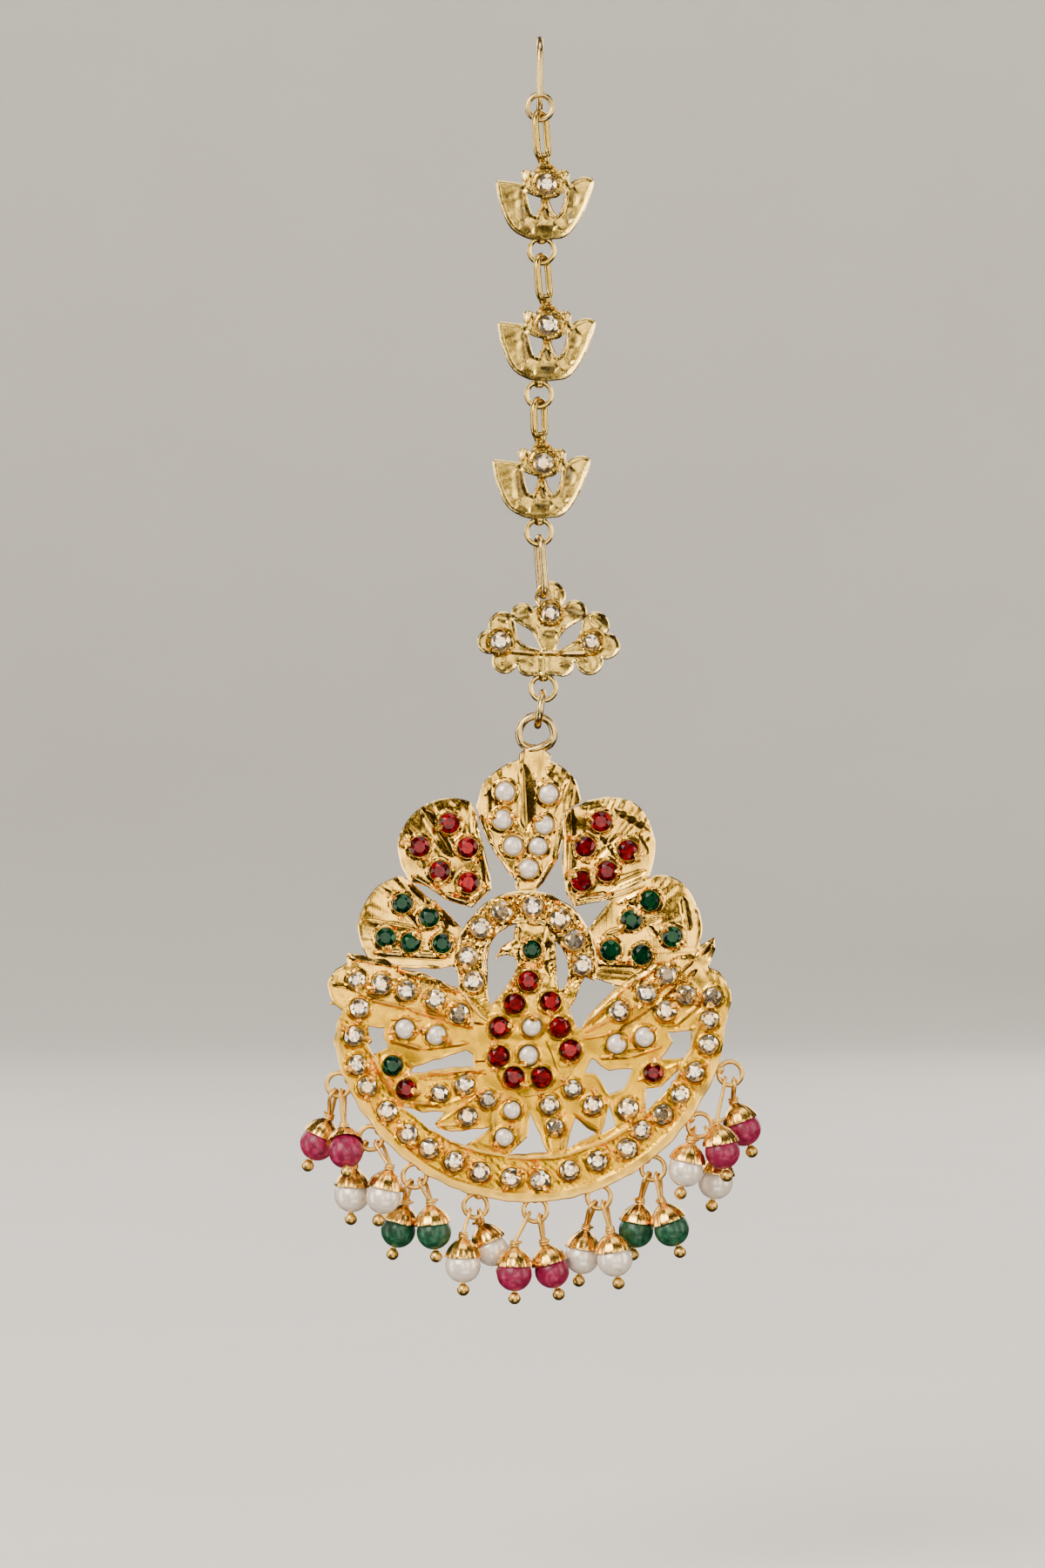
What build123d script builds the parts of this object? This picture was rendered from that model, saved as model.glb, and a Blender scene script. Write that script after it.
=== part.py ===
"""A maang tikka: a forehead jewel on a chain of lotus plates, with a pierced peacock pendant and drops.

Millimetres, +Z up. The front faces -Y. The origin is the inside top of the hook, where the hair carries it.
Depths are measured forwards from the middle of the metal, so the front of a plate is at depth PLATE / 2.
"""

import os
from math import acos, atan2, cos, hypot, radians, sin

from build123d import *

# ---------------------------------------------------------------- driving dimensions

HOOK_BEND = 2.7  # centre line of the hook's crook
HOOK_WIRE = 0.4  # radius of the hook's wire
HOOK_LEG = 5.4  # how far the rear leg runs straight down
LINK_WIRE = 0.42  # radius of the chain links' wire
RING_WIRE = 0.28  # radius of the small rings' wire
RING_MEAN = 1.43  # centre line of the chain's small rings
TOP_RING_WIRE = 0.45  # the pendant's own ring is the heaviest
TOP_RING_MEAN = 2.0
SLACK = 0.1  # play between two wires that hang in each other
JUMP_SLACK = 0.2  # play at the pendant's jump ring, which moves

PLATE = 1.0  # thickness of the pendant's sheet
CHAIN_PLATE = 0.8  # thickness of the lotus and cloud plates
RELIEF = 0.3  # height of the cast relief
COLLAR = 0.35  # width of the metal round a stone
COLLAR_TOP = 0.9  # depth of the collars' front edge
SEAT_FLOOR = 0.08  # depth of the bottom of a stone's seat
SEAT_PLAY = 0.07  # play round a stone in its seat
STONE_BACK = 0.18  # depth of a stone's back
STONE_GIRDLE = 0.72
STONE_CROWN = 0.8
STONE_TABLE = 1.15
TABLE_SHARE = 0.6  # width of a stone's table and of its back, as shares of its girdle's
BACK_SHARE = 0.45
PEARL_CUT = 25  # latitude at which a half pearl is cut flat behind

PENDANT = (-1.3, -110.6)  # x and z of the centre of the crescent
CRESCENT = 22.8  # outer radius of the crescent
CRESCENT_INNER = 19.5
INNER_SHIFT = (0.15, 2.1)  # the crescent's inner circle lies higher
ARCH = (-0.3, 4.8)  # centre of the arch over the bird's head
ARCH_OUTER = 8.2
ARCH_INNER = 4.85

DROP_RING_MEAN = 1.35
DROP_SOLDER = 0.6  # radius of the solder that holds a drop ring
PIN_WIRE = 0.22
PIN_WRAP = 0.5  # radius of the wrapped wire above a cap
PIN_BORE = 0.34
PIN_BALL = 0.72
BEAD = 2.03
CAP_FOOT = 1.2  # where the cap's rim sits, above the bead's centre
CAP_RIM = 2.05
CAP_TOP = 3.0
NECK = 0.6  # from the top of a cap to the foot of the headpin's loop
LOOP_HALF = 0.8  # half the width of a headpin's loop
PIN_TURN = -12  # how far a headpin's loop is turned open
PIN_SLACK = 0.2
PIN_SPREAD = 12  # how far round their ring, in degrees, a pair of loops stands apart from its beads' lines

CHAIN_Y = -HOOK_BEND


def front(depth, x=0.0, z=0.0):
    """The plane that faces the viewer at a depth, with its origin at x, z."""
    return Plane(origin=(x, CHAIN_Y - depth, z), x_dir=(1, 0, 0), z_dir=(0, -1, 0))


def on_pendant(depth):
    """A facing plane whose origin is the centre of the crescent."""
    return front(depth, *PENDANT)


# ---------------------------------------------------------------- shapes used by several pieces


def outline(points):
    """A face inside straight edges."""
    with BuildLine() as edge:
        Polyline(*points, close=True)
    make_face(edge.edges())


def lobe(rim, sides):
    """A face with one smooth rim, closed by straight sides."""
    with BuildLine() as edge:
        Spline(*rim)
        Polyline(rim[-1], *sides, rim[0])
    make_face(edge.edges())


def raised(points, foot, height, taper):
    """Relief with sloping sides on the pendant, from one depth up by a height."""
    with BuildSketch(on_pendant(foot)) as shape:
        outline(points)
    extrude(shape.sketch, amount=height, taper=taper)


def flute(root_x, root_z, reach, direction):
    """A narrow wedge that widens from near a lobe's root towards its rim."""
    along = (cos(radians(direction)), sin(radians(direction)))
    corners = []
    for share, half in ((0.25, -0.12), (1.0, -0.42), (1.0, 0.42), (0.25, 0.12)):
        x = root_x + along[0] * reach * share - along[1] * half
        z = root_z + along[1] * reach * share + along[0] * half
        corners.append((x, z))
    outline(corners)


def flat_ring(x, z, mean, wire):
    """A round wire ring that lies in the plane of the plates."""
    with Locations(front(0, x, z)):
        Torus(mean, wire)


def wire_loop(low, high, half_width, wire, turn=0.0):
    """A long closed loop of wire from low to high, on edge to the viewer unless it is turned."""
    start = Vector(*low)
    along = (Vector(*high) - start).normalized()
    across = Vector(1, 0, 0) - along * along.X
    normal = across.normalized().rotate(Axis((0, 0, 0), along), turn)
    straight = (Vector(*high) - start).length - 2 * half_width
    level = Plane(origin=start + along * half_width, x_dir=along, z_dir=normal)
    with BuildLine(level) as path:
        Line((0, half_width), (straight, half_width))
        ThreePointArc((straight, half_width), (straight + half_width, 0), (straight, -half_width))
        Line((straight, -half_width), (0, -half_width))
        ThreePointArc((0, -half_width), (-half_width, 0), (0, half_width))
    with BuildSketch(Plane(origin=path.line @ 0, z_dir=path.line % 0)) as section:
        Circle(wire)
    sweep(section.sketch, path=path.line)


def eye_loop(low, high, half_width, wire, through, turn):
    """A long loop of wire with its two ends side by side at low and another wire through its round top."""
    length = (high - low).length
    along = (high - low).normalized()
    normal = (through - along * along.dot(through)).normalized().rotate(Axis((0, 0, 0), along), turn)
    centre = length - half_width
    foot = 1.05 * wire
    shoulder = acos(-half_width / hypot(centre, foot)) - atan2(foot, centre)
    across = half_width * sin(shoulder)
    bend = centre + half_width * cos(shoulder)
    with BuildLine(Plane(origin=low, x_dir=along, z_dir=normal)) as path:
        Line((0, foot), (bend, across))
        ThreePointArc((bend, across), (length, 0), (bend, -across))
        Line((bend, -across), (0, -foot))
    with BuildSketch(Plane(origin=path.line @ 0, z_dir=path.line % 0)) as section:
        Circle(wire)
    sweep(section.sketch, path=path.line)


def cut_stone(radius):
    """An eight-sided cut stone with a table, crown, girdle and pavilion, on its axis, at its depth."""
    flat = radius * cos(radians(22.5))
    with BuildPart() as stone:
        with BuildSketch(Plane.XY.offset(STONE_BACK)):
            RegularPolygon(radius, 8, rotation=22.5)
        extrude(amount=STONE_TABLE - STONE_BACK)
        table = stone.faces().sort_by(Axis.Z)[-1]
        crown = STONE_TABLE - STONE_CROWN
        chamfer(table.edges(), length=flat * (1 - TABLE_SHARE), length2=crown, reference=table)
        back = stone.faces().sort_by(Axis.Z)[0]
        pavilion = STONE_GIRDLE - STONE_BACK
        chamfer(back.edges(), length=flat * (1 - BACK_SHARE), length2=pavilion, reference=back)
    return stone.part


def set_stone(stone, x, z):
    """Add a cut stone where it sits in its plate."""
    with Locations(front(0, x, z)):
        add(stone)


def half_pearl(x, z, radius):
    """A pearl that is cut flat behind, in its seat."""
    with Locations(front(STONE_BACK, x, z)):
        Sphere(radius, arc_size1=-PEARL_CUT, align=(Align.CENTER, Align.CENTER, Align.MIN))


# ---------------------------------------------------------------- stones of the pendant

# Each row is a stone: x and z from the crescent's centre, and its radius.
PEARL_FIELDS = {
    "feather_pearls": (
        (-2.7, 24.3, 1.2), (2.3, 24.1, 1.2), (-3.0, 21.1, 1.2), (1.8, 20.5, 1.1), (-1.8, 18.1, 1.2),
        (1.1, 18.05, 1.1), (0.0, 15.5, 1.2),
    ),
    "breast_pearls": ((0.4, -2.6, 1.2), (0.0, -5.9, 1.2)),
    "wing_pearls_left": ((-14.2, -2.9, 1.2), (-10.6, -3.6, 1.2)),
    "wing_pearls_right": ((10.1, -4.6, 1.2), (13.3, -3.8, 1.2)),
    "tail_pearls": ((-1.9, -12.2, 1.05), (-2.8, -15.3, 1.1)),
}
CUT_FIELDS = {
    "feather_rubies_left": (
        (-9.1, 20.7, 1.22), (-12.5, 18.0, 1.22), (-7.0, 17.9, 1.22), (-10.2, 15.2, 1.22),
        (-6.9, 13.9, 1.22),
    ),
    "feather_rubies_right": (
        (8.3, 20.9, 1.22), (6.5, 18.0, 1.22), (11.4, 17.6, 1.22), (9.0, 15.2, 1.22), (6.1, 14.1, 1.22),
    ),
    "feather_emeralds_left": (
        (-14.5, 11.5, 1.15), (-11.4, 9.9, 1.15), (-16.4, 7.6, 1.15), (-13.5, 7.0, 1.15), (-9.9, 6.9, 1.15),
    ),
    "feather_emeralds_right": (
        (13.9, 11.8, 1.2), (11.8, 9.6, 1.2), (16.5, 7.7, 1.2), (9.4, 6.1, 1.2), (13.0, 5.6, 1.2),
    ),
    "arch_crystals": (
        (-6.3, 2.6, 1.2), (-7.0, 5.4, 1.2), (-5.5, 8.7, 1.2), (-3.0, 10.6, 1.2), (0.5, 11.1, 1.2),
        (3.6, 9.7, 1.2), (5.3, 7.3, 1.2), (6.2, 4.4, 1.2),
    ),
    "head_emerald": ((0.4, 6.2, 1.1),),
    "breast_rubies": (
        (0.0, 2.6, 1.22), (-1.6, 0.0, 1.22), (2.5, 0.2, 1.22), (-3.3, -2.7, 1.22), (3.6, -2.7, 1.22),
        (-3.4, -6.0, 1.22), (4.8, -5.3, 1.22), (-1.7, -8.4, 1.22), (1.5, -8.4, 1.22),
    ),
    "wing_crystals_left": (
        (-19.7, 2.7, 1.0), (-16.9, 2.2, 1.15), (-14.0, 1.5, 1.15), (-10.7, 0.5, 1.15), (-7.9, -1.1, 1.15),
    ),
    "wing_crystals_right": (
        (10.4, -0.8, 1.15), (13.5, 1.2, 1.15), (15.9, 3.4, 1.15), (15.8, -0.8, 1.15), (18.1, 1.0, 1.15),
    ),
    "leaf_emerald": ((-15.6, -7.1, 1.15),),
    "leaf_rubies": ((-14.0, -9.8, 1.15), (14.3, -7.9, 1.1)),
    "tail_crystals_left": ((-10.2, -10.3, 1.0), (-7.3, -9.3, 1.1), (-4.6, -11.0, 1.0), (-7.0, -12.9, 1.1)),
    "tail_crystals_right": (
        (2.4, -11.6, 1.1), (3.1, -14.1, 1.0), (5.1, -9.7, 1.0), (7.4, -11.6, 1.1), (11.4, -12.0, 1.2),
    ),
    "crescent_crystals": (
        (-19.4, -0.5, 1.1), (-20.0, -3.7, 1.15), (-19.7, -7.0, 1.15), (-18.5, -9.5, 1.15),
        (-16.2, -12.3, 1.15), (-13.9, -14.9, 1.15), (-11.4, -16.6, 1.15), (-8.5, -18.1, 1.15),
        (-5.6, -19.3, 1.15), (-2.0, -20.0, 1.15), (1.3, -20.2, 1.15), (4.7, -19.1, 1.1), (7.9, -18.0, 1.15),
        (11.3, -16.6, 1.15), (12.9, -14.5, 1.1), (15.4, -12.7, 1.15), (17.4, -10.4, 1.1),
        (19.1, -7.8, 1.15), (20.7, -4.7, 1.15), (20.7, -1.8, 1.1), (21.1, 0.8, 1.1),
    ),
}
SEATS = [stone for field in (PEARL_FIELDS | CUT_FIELDS).values() for stone in field]

# ---------------------------------------------------------------- outlines of the pendant

# Each feather lobe: its smooth rim, and the corners of its sides, from the crescent's centre.
LOBES = {
    "centre": (
        ((-6.0, 22.7), (-4.6, 26.0), (0.3, 28.4), (4.9, 26.3), (6.1, 23.2)),
        ((4.3, 22.2), (4.1, 19.2), (3.3, 16.4), (1.8, 14.0), (0.6, 12.8), (-1.2, 12.8), (-1.9, 14.4),
         (-3.5, 16.7), (-4.7, 18.7), (-5.7, 21.2)),
    ),
    "left_red": (
        ((-6.2, 22.2), (-6.9, 23.2), (-9.4, 23.6), (-12.7, 22.3), (-14.9, 19.2), (-14.7, 16.2),
        (-13.7, 14.0)),
        ((-11.6, 13.4), (-9.7, 12.0), (-6.5, 11.0), (-4.3, 13.2), (-4.4, 14.7), (-4.7, 16.2), (-5.2, 18.2)),
    ),
    "right_red": (
        ((5.6, 22.7), (7.3, 23.4), (10.0, 23.7), (12.8, 22.5), (14.4, 19.2), (14.4, 16.6), (13.6, 13.8)),
        ((10.8, 12.4), (9.3, 11.9), (5.1, 11.1), (4.1, 13.2), (3.8, 16.2), (4.3, 22.2)),
    ),
    "left_green": (
        ((-13.7, 14.2), (-15.2, 14.6), (-17.9, 12.9), (-19.5, 9.7), (-19.3, 7.2), (-18.4, 5.0)),
        ((-15.0, 4.4), (-8.6, 4.2), (-7.4, 8.4), (-9.7, 10.8), (-11.7, 12.4)),
    ),
    "right_green": (
        ((13.4, 14.3), (15.3, 14.8), (17.9, 13.6), (19.8, 9.9), (19.7, 7.2), (19.0, 5.2)),
        ((13.8, 3.6), (10.3, 2.0), (7.3, 3.0), (6.5, 7.7), (7.6, 9.8), (9.3, 11.9)),
    ),
}
# The sheet of the wings above the crescent's ends, down to the crescent's centre line.
WINGS = (
    (-20.7, 5.8), (-18.5, 5.4), (-15.0, 4.8), (-8.6, 4.5), (-7.0, 3.0), (-2.0, 0.0), (5.4, -2.0),
    (7.5, 1.0), (13.8, 4.4), (18.6, 5.9), (20.2, 7.0), (21.3, 7.7), (21.5, 6.2), (20.7, 4.2), (21.8, 3.6),
    (22.6, 2.7), (23.1, 1.7), (23.2, 0.2), (22.7, -2.0), (0.0, -12.0), (-22.1, -4.0), (-21.9, -1.8),
    (-21.4, -0.8), (-22.2, 0.0), (-22.9, 0.9), (-23.1, 2.0), (-22.9, 2.8), (-22.2, 4.0), (-20.9, 4.6),
)
# The bird, clockwise from the top of its head: neck, breast, and up again past the beak.
BIRD = (
    (3.2, 9.4), (3.1, 2.7), (3.7, 1.4), (4.9, -0.6), (5.9, -3.2), (6.0, -6.3), (4.2, -9.2), (1.8, -10.7),
    (-0.8, -10.7), (-3.2, -9.4), (-4.8, -6.4), (-4.9, -2.8), (-4.3, -0.3), (-2.7, 1.7), (-1.7, 3.2),
    (-1.3, 4.7), (-1.7, 5.4), (-2.4, 5.6), (-3.2, 5.5), (-3.8, 5.1), (-3.2, 6.4), (-2.2, 7.1), (-1.7, 7.3),
    (-1.7, 9.3),
)
# Openings cut right through the pendant.
OPENINGS = {
    "beside_centre_left": ((-4.3, 17.2), (-1.4, 14.0), (-4.0, 12.2), (-4.25, 14.5)),
    "under_left_red": ((-9.9, 11.9), (-6.5, 10.9), (-5.9, 10.6), (-7.7, 8.7)),
    "beside_centre_right": ((3.3, 16.5), (3.8, 15.7), (4.2, 13.4), (4.4, 11.8), (1.4, 13.4)),
    "under_right_red": ((5.3, 11.0), (9.4, 11.8), (7.6, 9.7), (6.8, 8.7)),
    "before_neck": (
        (-1.4, 9.1), (-2.2, 8.9), (-3.6, 8.1), (-4.5, 6.7), (-4.75, 4.7), (-4.7, 3.2), (-4.7, 0.9),
        (-4.4, -0.3), (-3.9, 0.3), (-2.7, 1.8), (-1.7, 3.2), (-1.3, 4.7), (-1.7, 5.4), (-2.4, 5.6),
        (-3.2, 5.5), (-3.8, 5.1), (-3.2, 6.4), (-2.2, 7.1), (-1.7, 7.3), (-1.7, 8.4),
    ),
    "behind_neck": (
        (3.1, 7.2), (3.8, 6.4), (4.4, 5.2), (4.6, 3.7), (4.3, 2.2), (3.6, 1.5), (3.2, 2.7),
    ),
    "left_upper": (
        (-15.0, 4.1), (-12.2, 4.0), (-8.7, 4.2), (-8.1, 3.4), (-8.0, 2.0), (-8.8, 2.0), (-10.7, 3.0),
        (-12.7, 3.6),
    ),
    "right_upper": (
        (6.5, 3.1), (7.3, 2.7), (10.3, 1.9), (8.3, 0.2), (6.8, -1.6), (6.0, -2.8), (5.6, -2.8), (5.1, -1.8),
        (4.5, -0.6), (5.3, 0.4), (5.8, 1.7),
    ),
    "left_window": (
        (-18.5, -2.7), (-16.5, -2.7), (-16.6, -3.8), (-16.2, -5.0), (-17.9, -5.8), (-18.3, -4.8),
    ),
    "left_middle": (
        (-13.2, -7.3), (-10.7, -6.5), (-7.1, -5.4), (-6.5, -5.8), (-6.3, -7.3), (-8.7, -7.3), (-11.7, -7.8),
        (-13.7, -8.0),
    ),
    "left_lower": (
        (-14.4, -11.8), (-12.2, -12.4), (-9.5, -12.4), (-10.7, -13.8), (-10.4, -14.4), (-8.7, -14.6),
        (-6.2, -14.5), (-4.4, -14.1), (-5.9, -15.6), (-7.2, -16.2), (-9.2, -15.6), (-11.0, -14.5),
        (-12.7, -13.3),
    ),
    "right_window": (
        (16.0, -3.3), (18.8, -3.1), (18.6, -4.8), (17.8, -6.1), (17.3, -6.3), (15.3, -6.3), (15.8, -5.6),
        (16.6, -4.3),
    ),
    "right_middle": (
        (7.2, -6.3), (7.6, -6.5), (8.3, -7.2), (9.3, -7.7), (10.1, -7.5), (11.9, -7.6), (11.8, -8.0),
        (11.3, -9.3), (10.5, -10.0), (9.3, -10.4), (8.5, -9.1), (7.8, -8.2), (6.5, -7.8),
    ),
    "right_lower": (
        (13.5, -9.7), (15.3, -9.5), (17.3, -7.6), (16.8, -9.1), (15.3, -10.6), (13.6, -12.4), (13.4, -10.9),
    ),
    "tail_middle": ((0.2, -12.6), (0.7, -13.8), (2.1, -17.1), (-2.3, -17.3), (-0.2, -15.3)),
    "tail_right": ((5.4, -13.1), (6.8, -14.3), (7.8, -14.9), (4.3, -16.7), (4.8, -14.8)),
    "tail_slit": ((9.3, -11.7), (10.0, -14.1), (8.3, -15.0)),
    "left_notch": (
        (-24.0, -0.1), (-22.2, -0.1), (-21.4, -0.8), (-21.9, -1.8), (-22.3, -4.2), (-24.0, -4.4),
    ),
}
# Raised feathers of the wings and tail.
FEATHERS = (
    (
        (-21.0, 4.6), (-17.5, 4.0), (-12.0, 3.3), (-6.0, 0.4), (-5.4, -1.6), (-8.0, -2.6), (-14.0, -0.4),
        (-21.0, 1.0),
    ),
    ((-16.6, -1.6), (-11.0, -2.0), (-5.6, -3.0), (-5.8, -4.4), (-10.0, -5.0), (-14.6, -4.5)),
    ((-17.0, -5.8), (-14.8, -5.6), (-11.8, -8.4), (-6.0, -7.9), (-5.0, -9.0), (-8.6, -11.8),
    (-13.4, -11.4)),
    ((6.4, -3.0), (10.4, 1.0), (16.8, 5.4), (19.6, 5.4), (19.6, 1.0), (15.0, -2.2), (9.0, -3.2)),
    ((6.6, -4.6), (10.0, -3.2), (15.2, -2.4), (16.0, -4.4), (11.0, -6.2), (7.6, -6.0)),
)

# The lobes' flutes: x and z of their common root, their reach, and the first and last direction in degrees.
FLUTES = {
    "centre": (0.3, 14.6, 11.5, 66, 114),
    "left_red": (-5.4, 12.4, 10.2, 103, 148),
    "right_red": (5.0, 12.4, 10.2, 79, 34),
    "left_green": (-8.2, 6.4, 10.0, 132, 177),
    "right_green": (7.8, 5.6, 10.6, 52, 5),
}
FLUTES_PER_LOBE = 5
# The solder that joins the top ring to the centre lobe.
SOLDER_TAB = ((-1.2, 27.6), (2.3, 27.6), (2.6, 28.5), (1.8, 29.2), (-0.4, 29.2), (-1.1, 28.7))

# ---------------------------------------------------------------- the drops

# Each row is a drop ring: its direction from the crescent's centre, in degrees from straight down towards
# the right, and how far out its own centre lies.
DROP_RINGS = (
    (-66.9, 23.7), (-49.6, 23.8), (-33.5, 23.7), (-14.7, 24.0), (1.9, 23.7), (20.0, 23.6), (37.1, 23.7),
    (54.6, 24.1), (70.9, 24.5),
)
# Each row is a drop: its ring and letter, x and z of the bead's centre from that ring's centre, how far
# forward the bead hangs, how far its foot swings to the right, and how far it leans towards the viewer.
DROPS = (
    (1, "a", -2.5, -6.9, -1.8, -24, 0), (1, "b", 0.9, -7.4, 3.0, 6, 38),
    (2, "a", -2.2, -6.7, -1.9, -3, 0), (2, "b", 1.5, -6.6, 1.6, -12, 0),
    (3, "a", -1.9, -6.4, -1.2, -14, 0), (3, "b", 2.2, -6.4, 0.9, 6, 0),
    (4, "a", -1.4, -6.7, 1.4, 0, 0), (4, "b", 1.9, -5.1, -1.5, 24, 0),
    (5, "a", -2.4, -7.2, 1.4, 0, 0), (5, "b", 1.9, -7.0, 0.1, 16, 0),
    (6, "a", -1.9, -7.1, -2.1, -8, 0), (6, "b", 1.8, -7.1, 0.9, 9, 0),
    (7, "a", -1.9, -7.3, -1.6, -8, 0), (7, "b", 2.1, -6.9, 1.0, 20, 0),
    (8, "a", -1.7, -4.9, 2.4, -12, 0), (8, "b", 1.9, -6.7, -2.1, -9, 0),
    (9, "a", -1.0, -8.8, 2.6, 10, 0), (9, "b", 1.6, -6.5, -1.7, 20, 0),
)


def ring_centre(number, inwards=0.0):
    """x and z of a drop ring's centre, or of a point that lies further in towards the crescent's centre."""
    angle, reach = DROP_RINGS[number - 1]
    x = PENDANT[0] + (reach - inwards) * sin(radians(angle))
    z = PENDANT[1] - (reach - inwards) * cos(radians(angle))
    return x, z


def drop_frame(number, right, down, forward, swing, lean):
    """A plane at the bead's centre whose z axis runs up the headpin."""
    x, z = ring_centre(number)
    up = Vector(0, 0, 1).rotate(Axis.X, -lean).rotate(Axis.Y, -swing)
    return Plane(origin=(x + right, CHAIN_Y - forward, z + down), x_dir=up.cross(Vector(0, 1, 0)), z_dir=up)


def drilled_bead(level):
    """A round bead with its drilling along the headpin."""
    with Locations(level):
        Sphere(BEAD)
        Cylinder(PIN_BORE, 3 * BEAD, mode=Mode.SUBTRACT)


def bead_cap(level):
    """A thin cone that covers the top of a bead."""
    side = Plane(origin=level.origin, x_dir=level.x_dir, z_dir=level.x_dir.cross(level.z_dir))
    with BuildSketch(side) as profile:
        outline(
            (
                (CAP_RIM - 0.22, CAP_FOOT), (CAP_RIM, CAP_FOOT), (0.9, CAP_TOP - 0.25), (0.65, CAP_TOP),
                (PIN_BORE, CAP_TOP), (PIN_BORE, CAP_TOP - 0.25), (0.55, CAP_TOP - 0.3),
            )
        )
    revolve(profile.sketch, axis=Axis(level.origin, level.z_dir))


def headpin(number, level):
    """A ball end, the wire through the bead, a wrap above the cap and the long loop to the ring."""
    ring_x, ring_z = ring_centre(number)
    ring = Vector(ring_x, CHAIN_Y, ring_z)
    wrap = level.origin + level.z_dir * (CAP_TOP + NECK)
    spread = -PIN_SPREAD if level.origin.X > ring_x else PIN_SPREAD
    outwards = Vector(wrap.X - ring_x, 0, wrap.Z - ring_z).normalized().rotate(Axis.Y, spread)
    hang = ring + outwards * DROP_RING_MEAN
    reach = (hang - wrap).normalized()
    top = hang + reach * (RING_WIRE + PIN_WIRE + PIN_SLACK)
    tangent = outwards.cross(Vector(0, 1, 0))
    foot = level.origin - level.z_dir * (BEAD + PIN_BALL + 0.03)
    with Locations(Plane(origin=foot, z_dir=level.z_dir)):
        Sphere(PIN_BALL)
        Cylinder(PIN_WIRE, (wrap - foot).length, align=(Align.CENTER, Align.CENTER, Align.MIN))
    with Locations(Plane(origin=wrap + level.z_dir * PIN_WIRE, z_dir=level.z_dir)):
        Cylinder(PIN_WRAP, NECK, align=(Align.CENTER, Align.CENTER, Align.MAX))
    eye_loop(wrap, top, LOOP_HALF, PIN_WIRE, tangent, PIN_TURN)


# ---------------------------------------------------------------- hook and lotus chain

EYE = -7.7  # z of the hook's eye

with BuildPart() as hook:
    bend = HOOK_BEND - HOOK_WIRE
    with BuildLine(Plane.YZ) as hook_path:
        Line((CHAIN_Y, EYE + RING_MEAN), (CHAIN_Y, -bend))
        ThreePointArc((CHAIN_Y, -bend), (0, HOOK_WIRE), (HOOK_BEND, -bend))
        Line((HOOK_BEND, -bend), (HOOK_BEND, -HOOK_LEG))
        flare = [(HOOK_BEND + out, -HOOK_LEG - below) for out, below in ((0, 0), (0.12, 0.9), (0.5, 1.7))]
        ThreePointArc(*flare)
    with BuildSketch(Plane(origin=hook_path.line @ 0, z_dir=hook_path.line % 0)):
        Circle(HOOK_WIRE)
    sweep(path=hook_path.line)
    with Locations(hook_path.line @ 1):
        Sphere(HOOK_WIRE)
    flat_ring(0, EYE, RING_MEAN, RING_WIRE + 0.05)

# Each row is a lotus: its name, x and z of its stone, x and z of its lower ring from the stone, and
# x and z of the ring above, which its link goes through.
LOTUSES = (
    ("top", 0.8, -16.6, -0.6, -7.6, 0.0, EYE),
    ("middle", 1.0, -32.8, -1.1, -7.9, 0.2, -24.2),
    ("lower", 0.4, -48.6, -0.5, -7.9, -0.1, -40.7),
)
LOTUS_STONE = 1.15
LOTUS_CUP_LEFT = ((-5.9, 0.2), (-5.5, -2.2), (-4.3, -5.2), (-2.2, -6.35))
LOTUS_CUP_RIGHT = ((2.0, -6.2), (3.7, -4.7), (4.8, -2.0), (5.4, 0.2))
LOTUS_GAP_LEFT = (
    (-2.3, -0.9), (-2.15, -2.2), (-1.7, -3.4), (-1.2, -3.55), (-0.7, -2.6), (-0.65, -1.55), (-1.6, -1.25),
)
LOTUS_GAP_RIGHT = (
    (0.25, -1.7), (0.6, -2.8), (1.1, -3.55), (1.5, -3.1), (1.85, -2.1), (2.05, -0.8), (1.2, -1.4),
)
LINK_HALF = 1.25
LINK_TURN = -30
lotus_stone = cut_stone(LOTUS_STONE)
lotus_parts = {}
lotus_stones = {}
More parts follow.
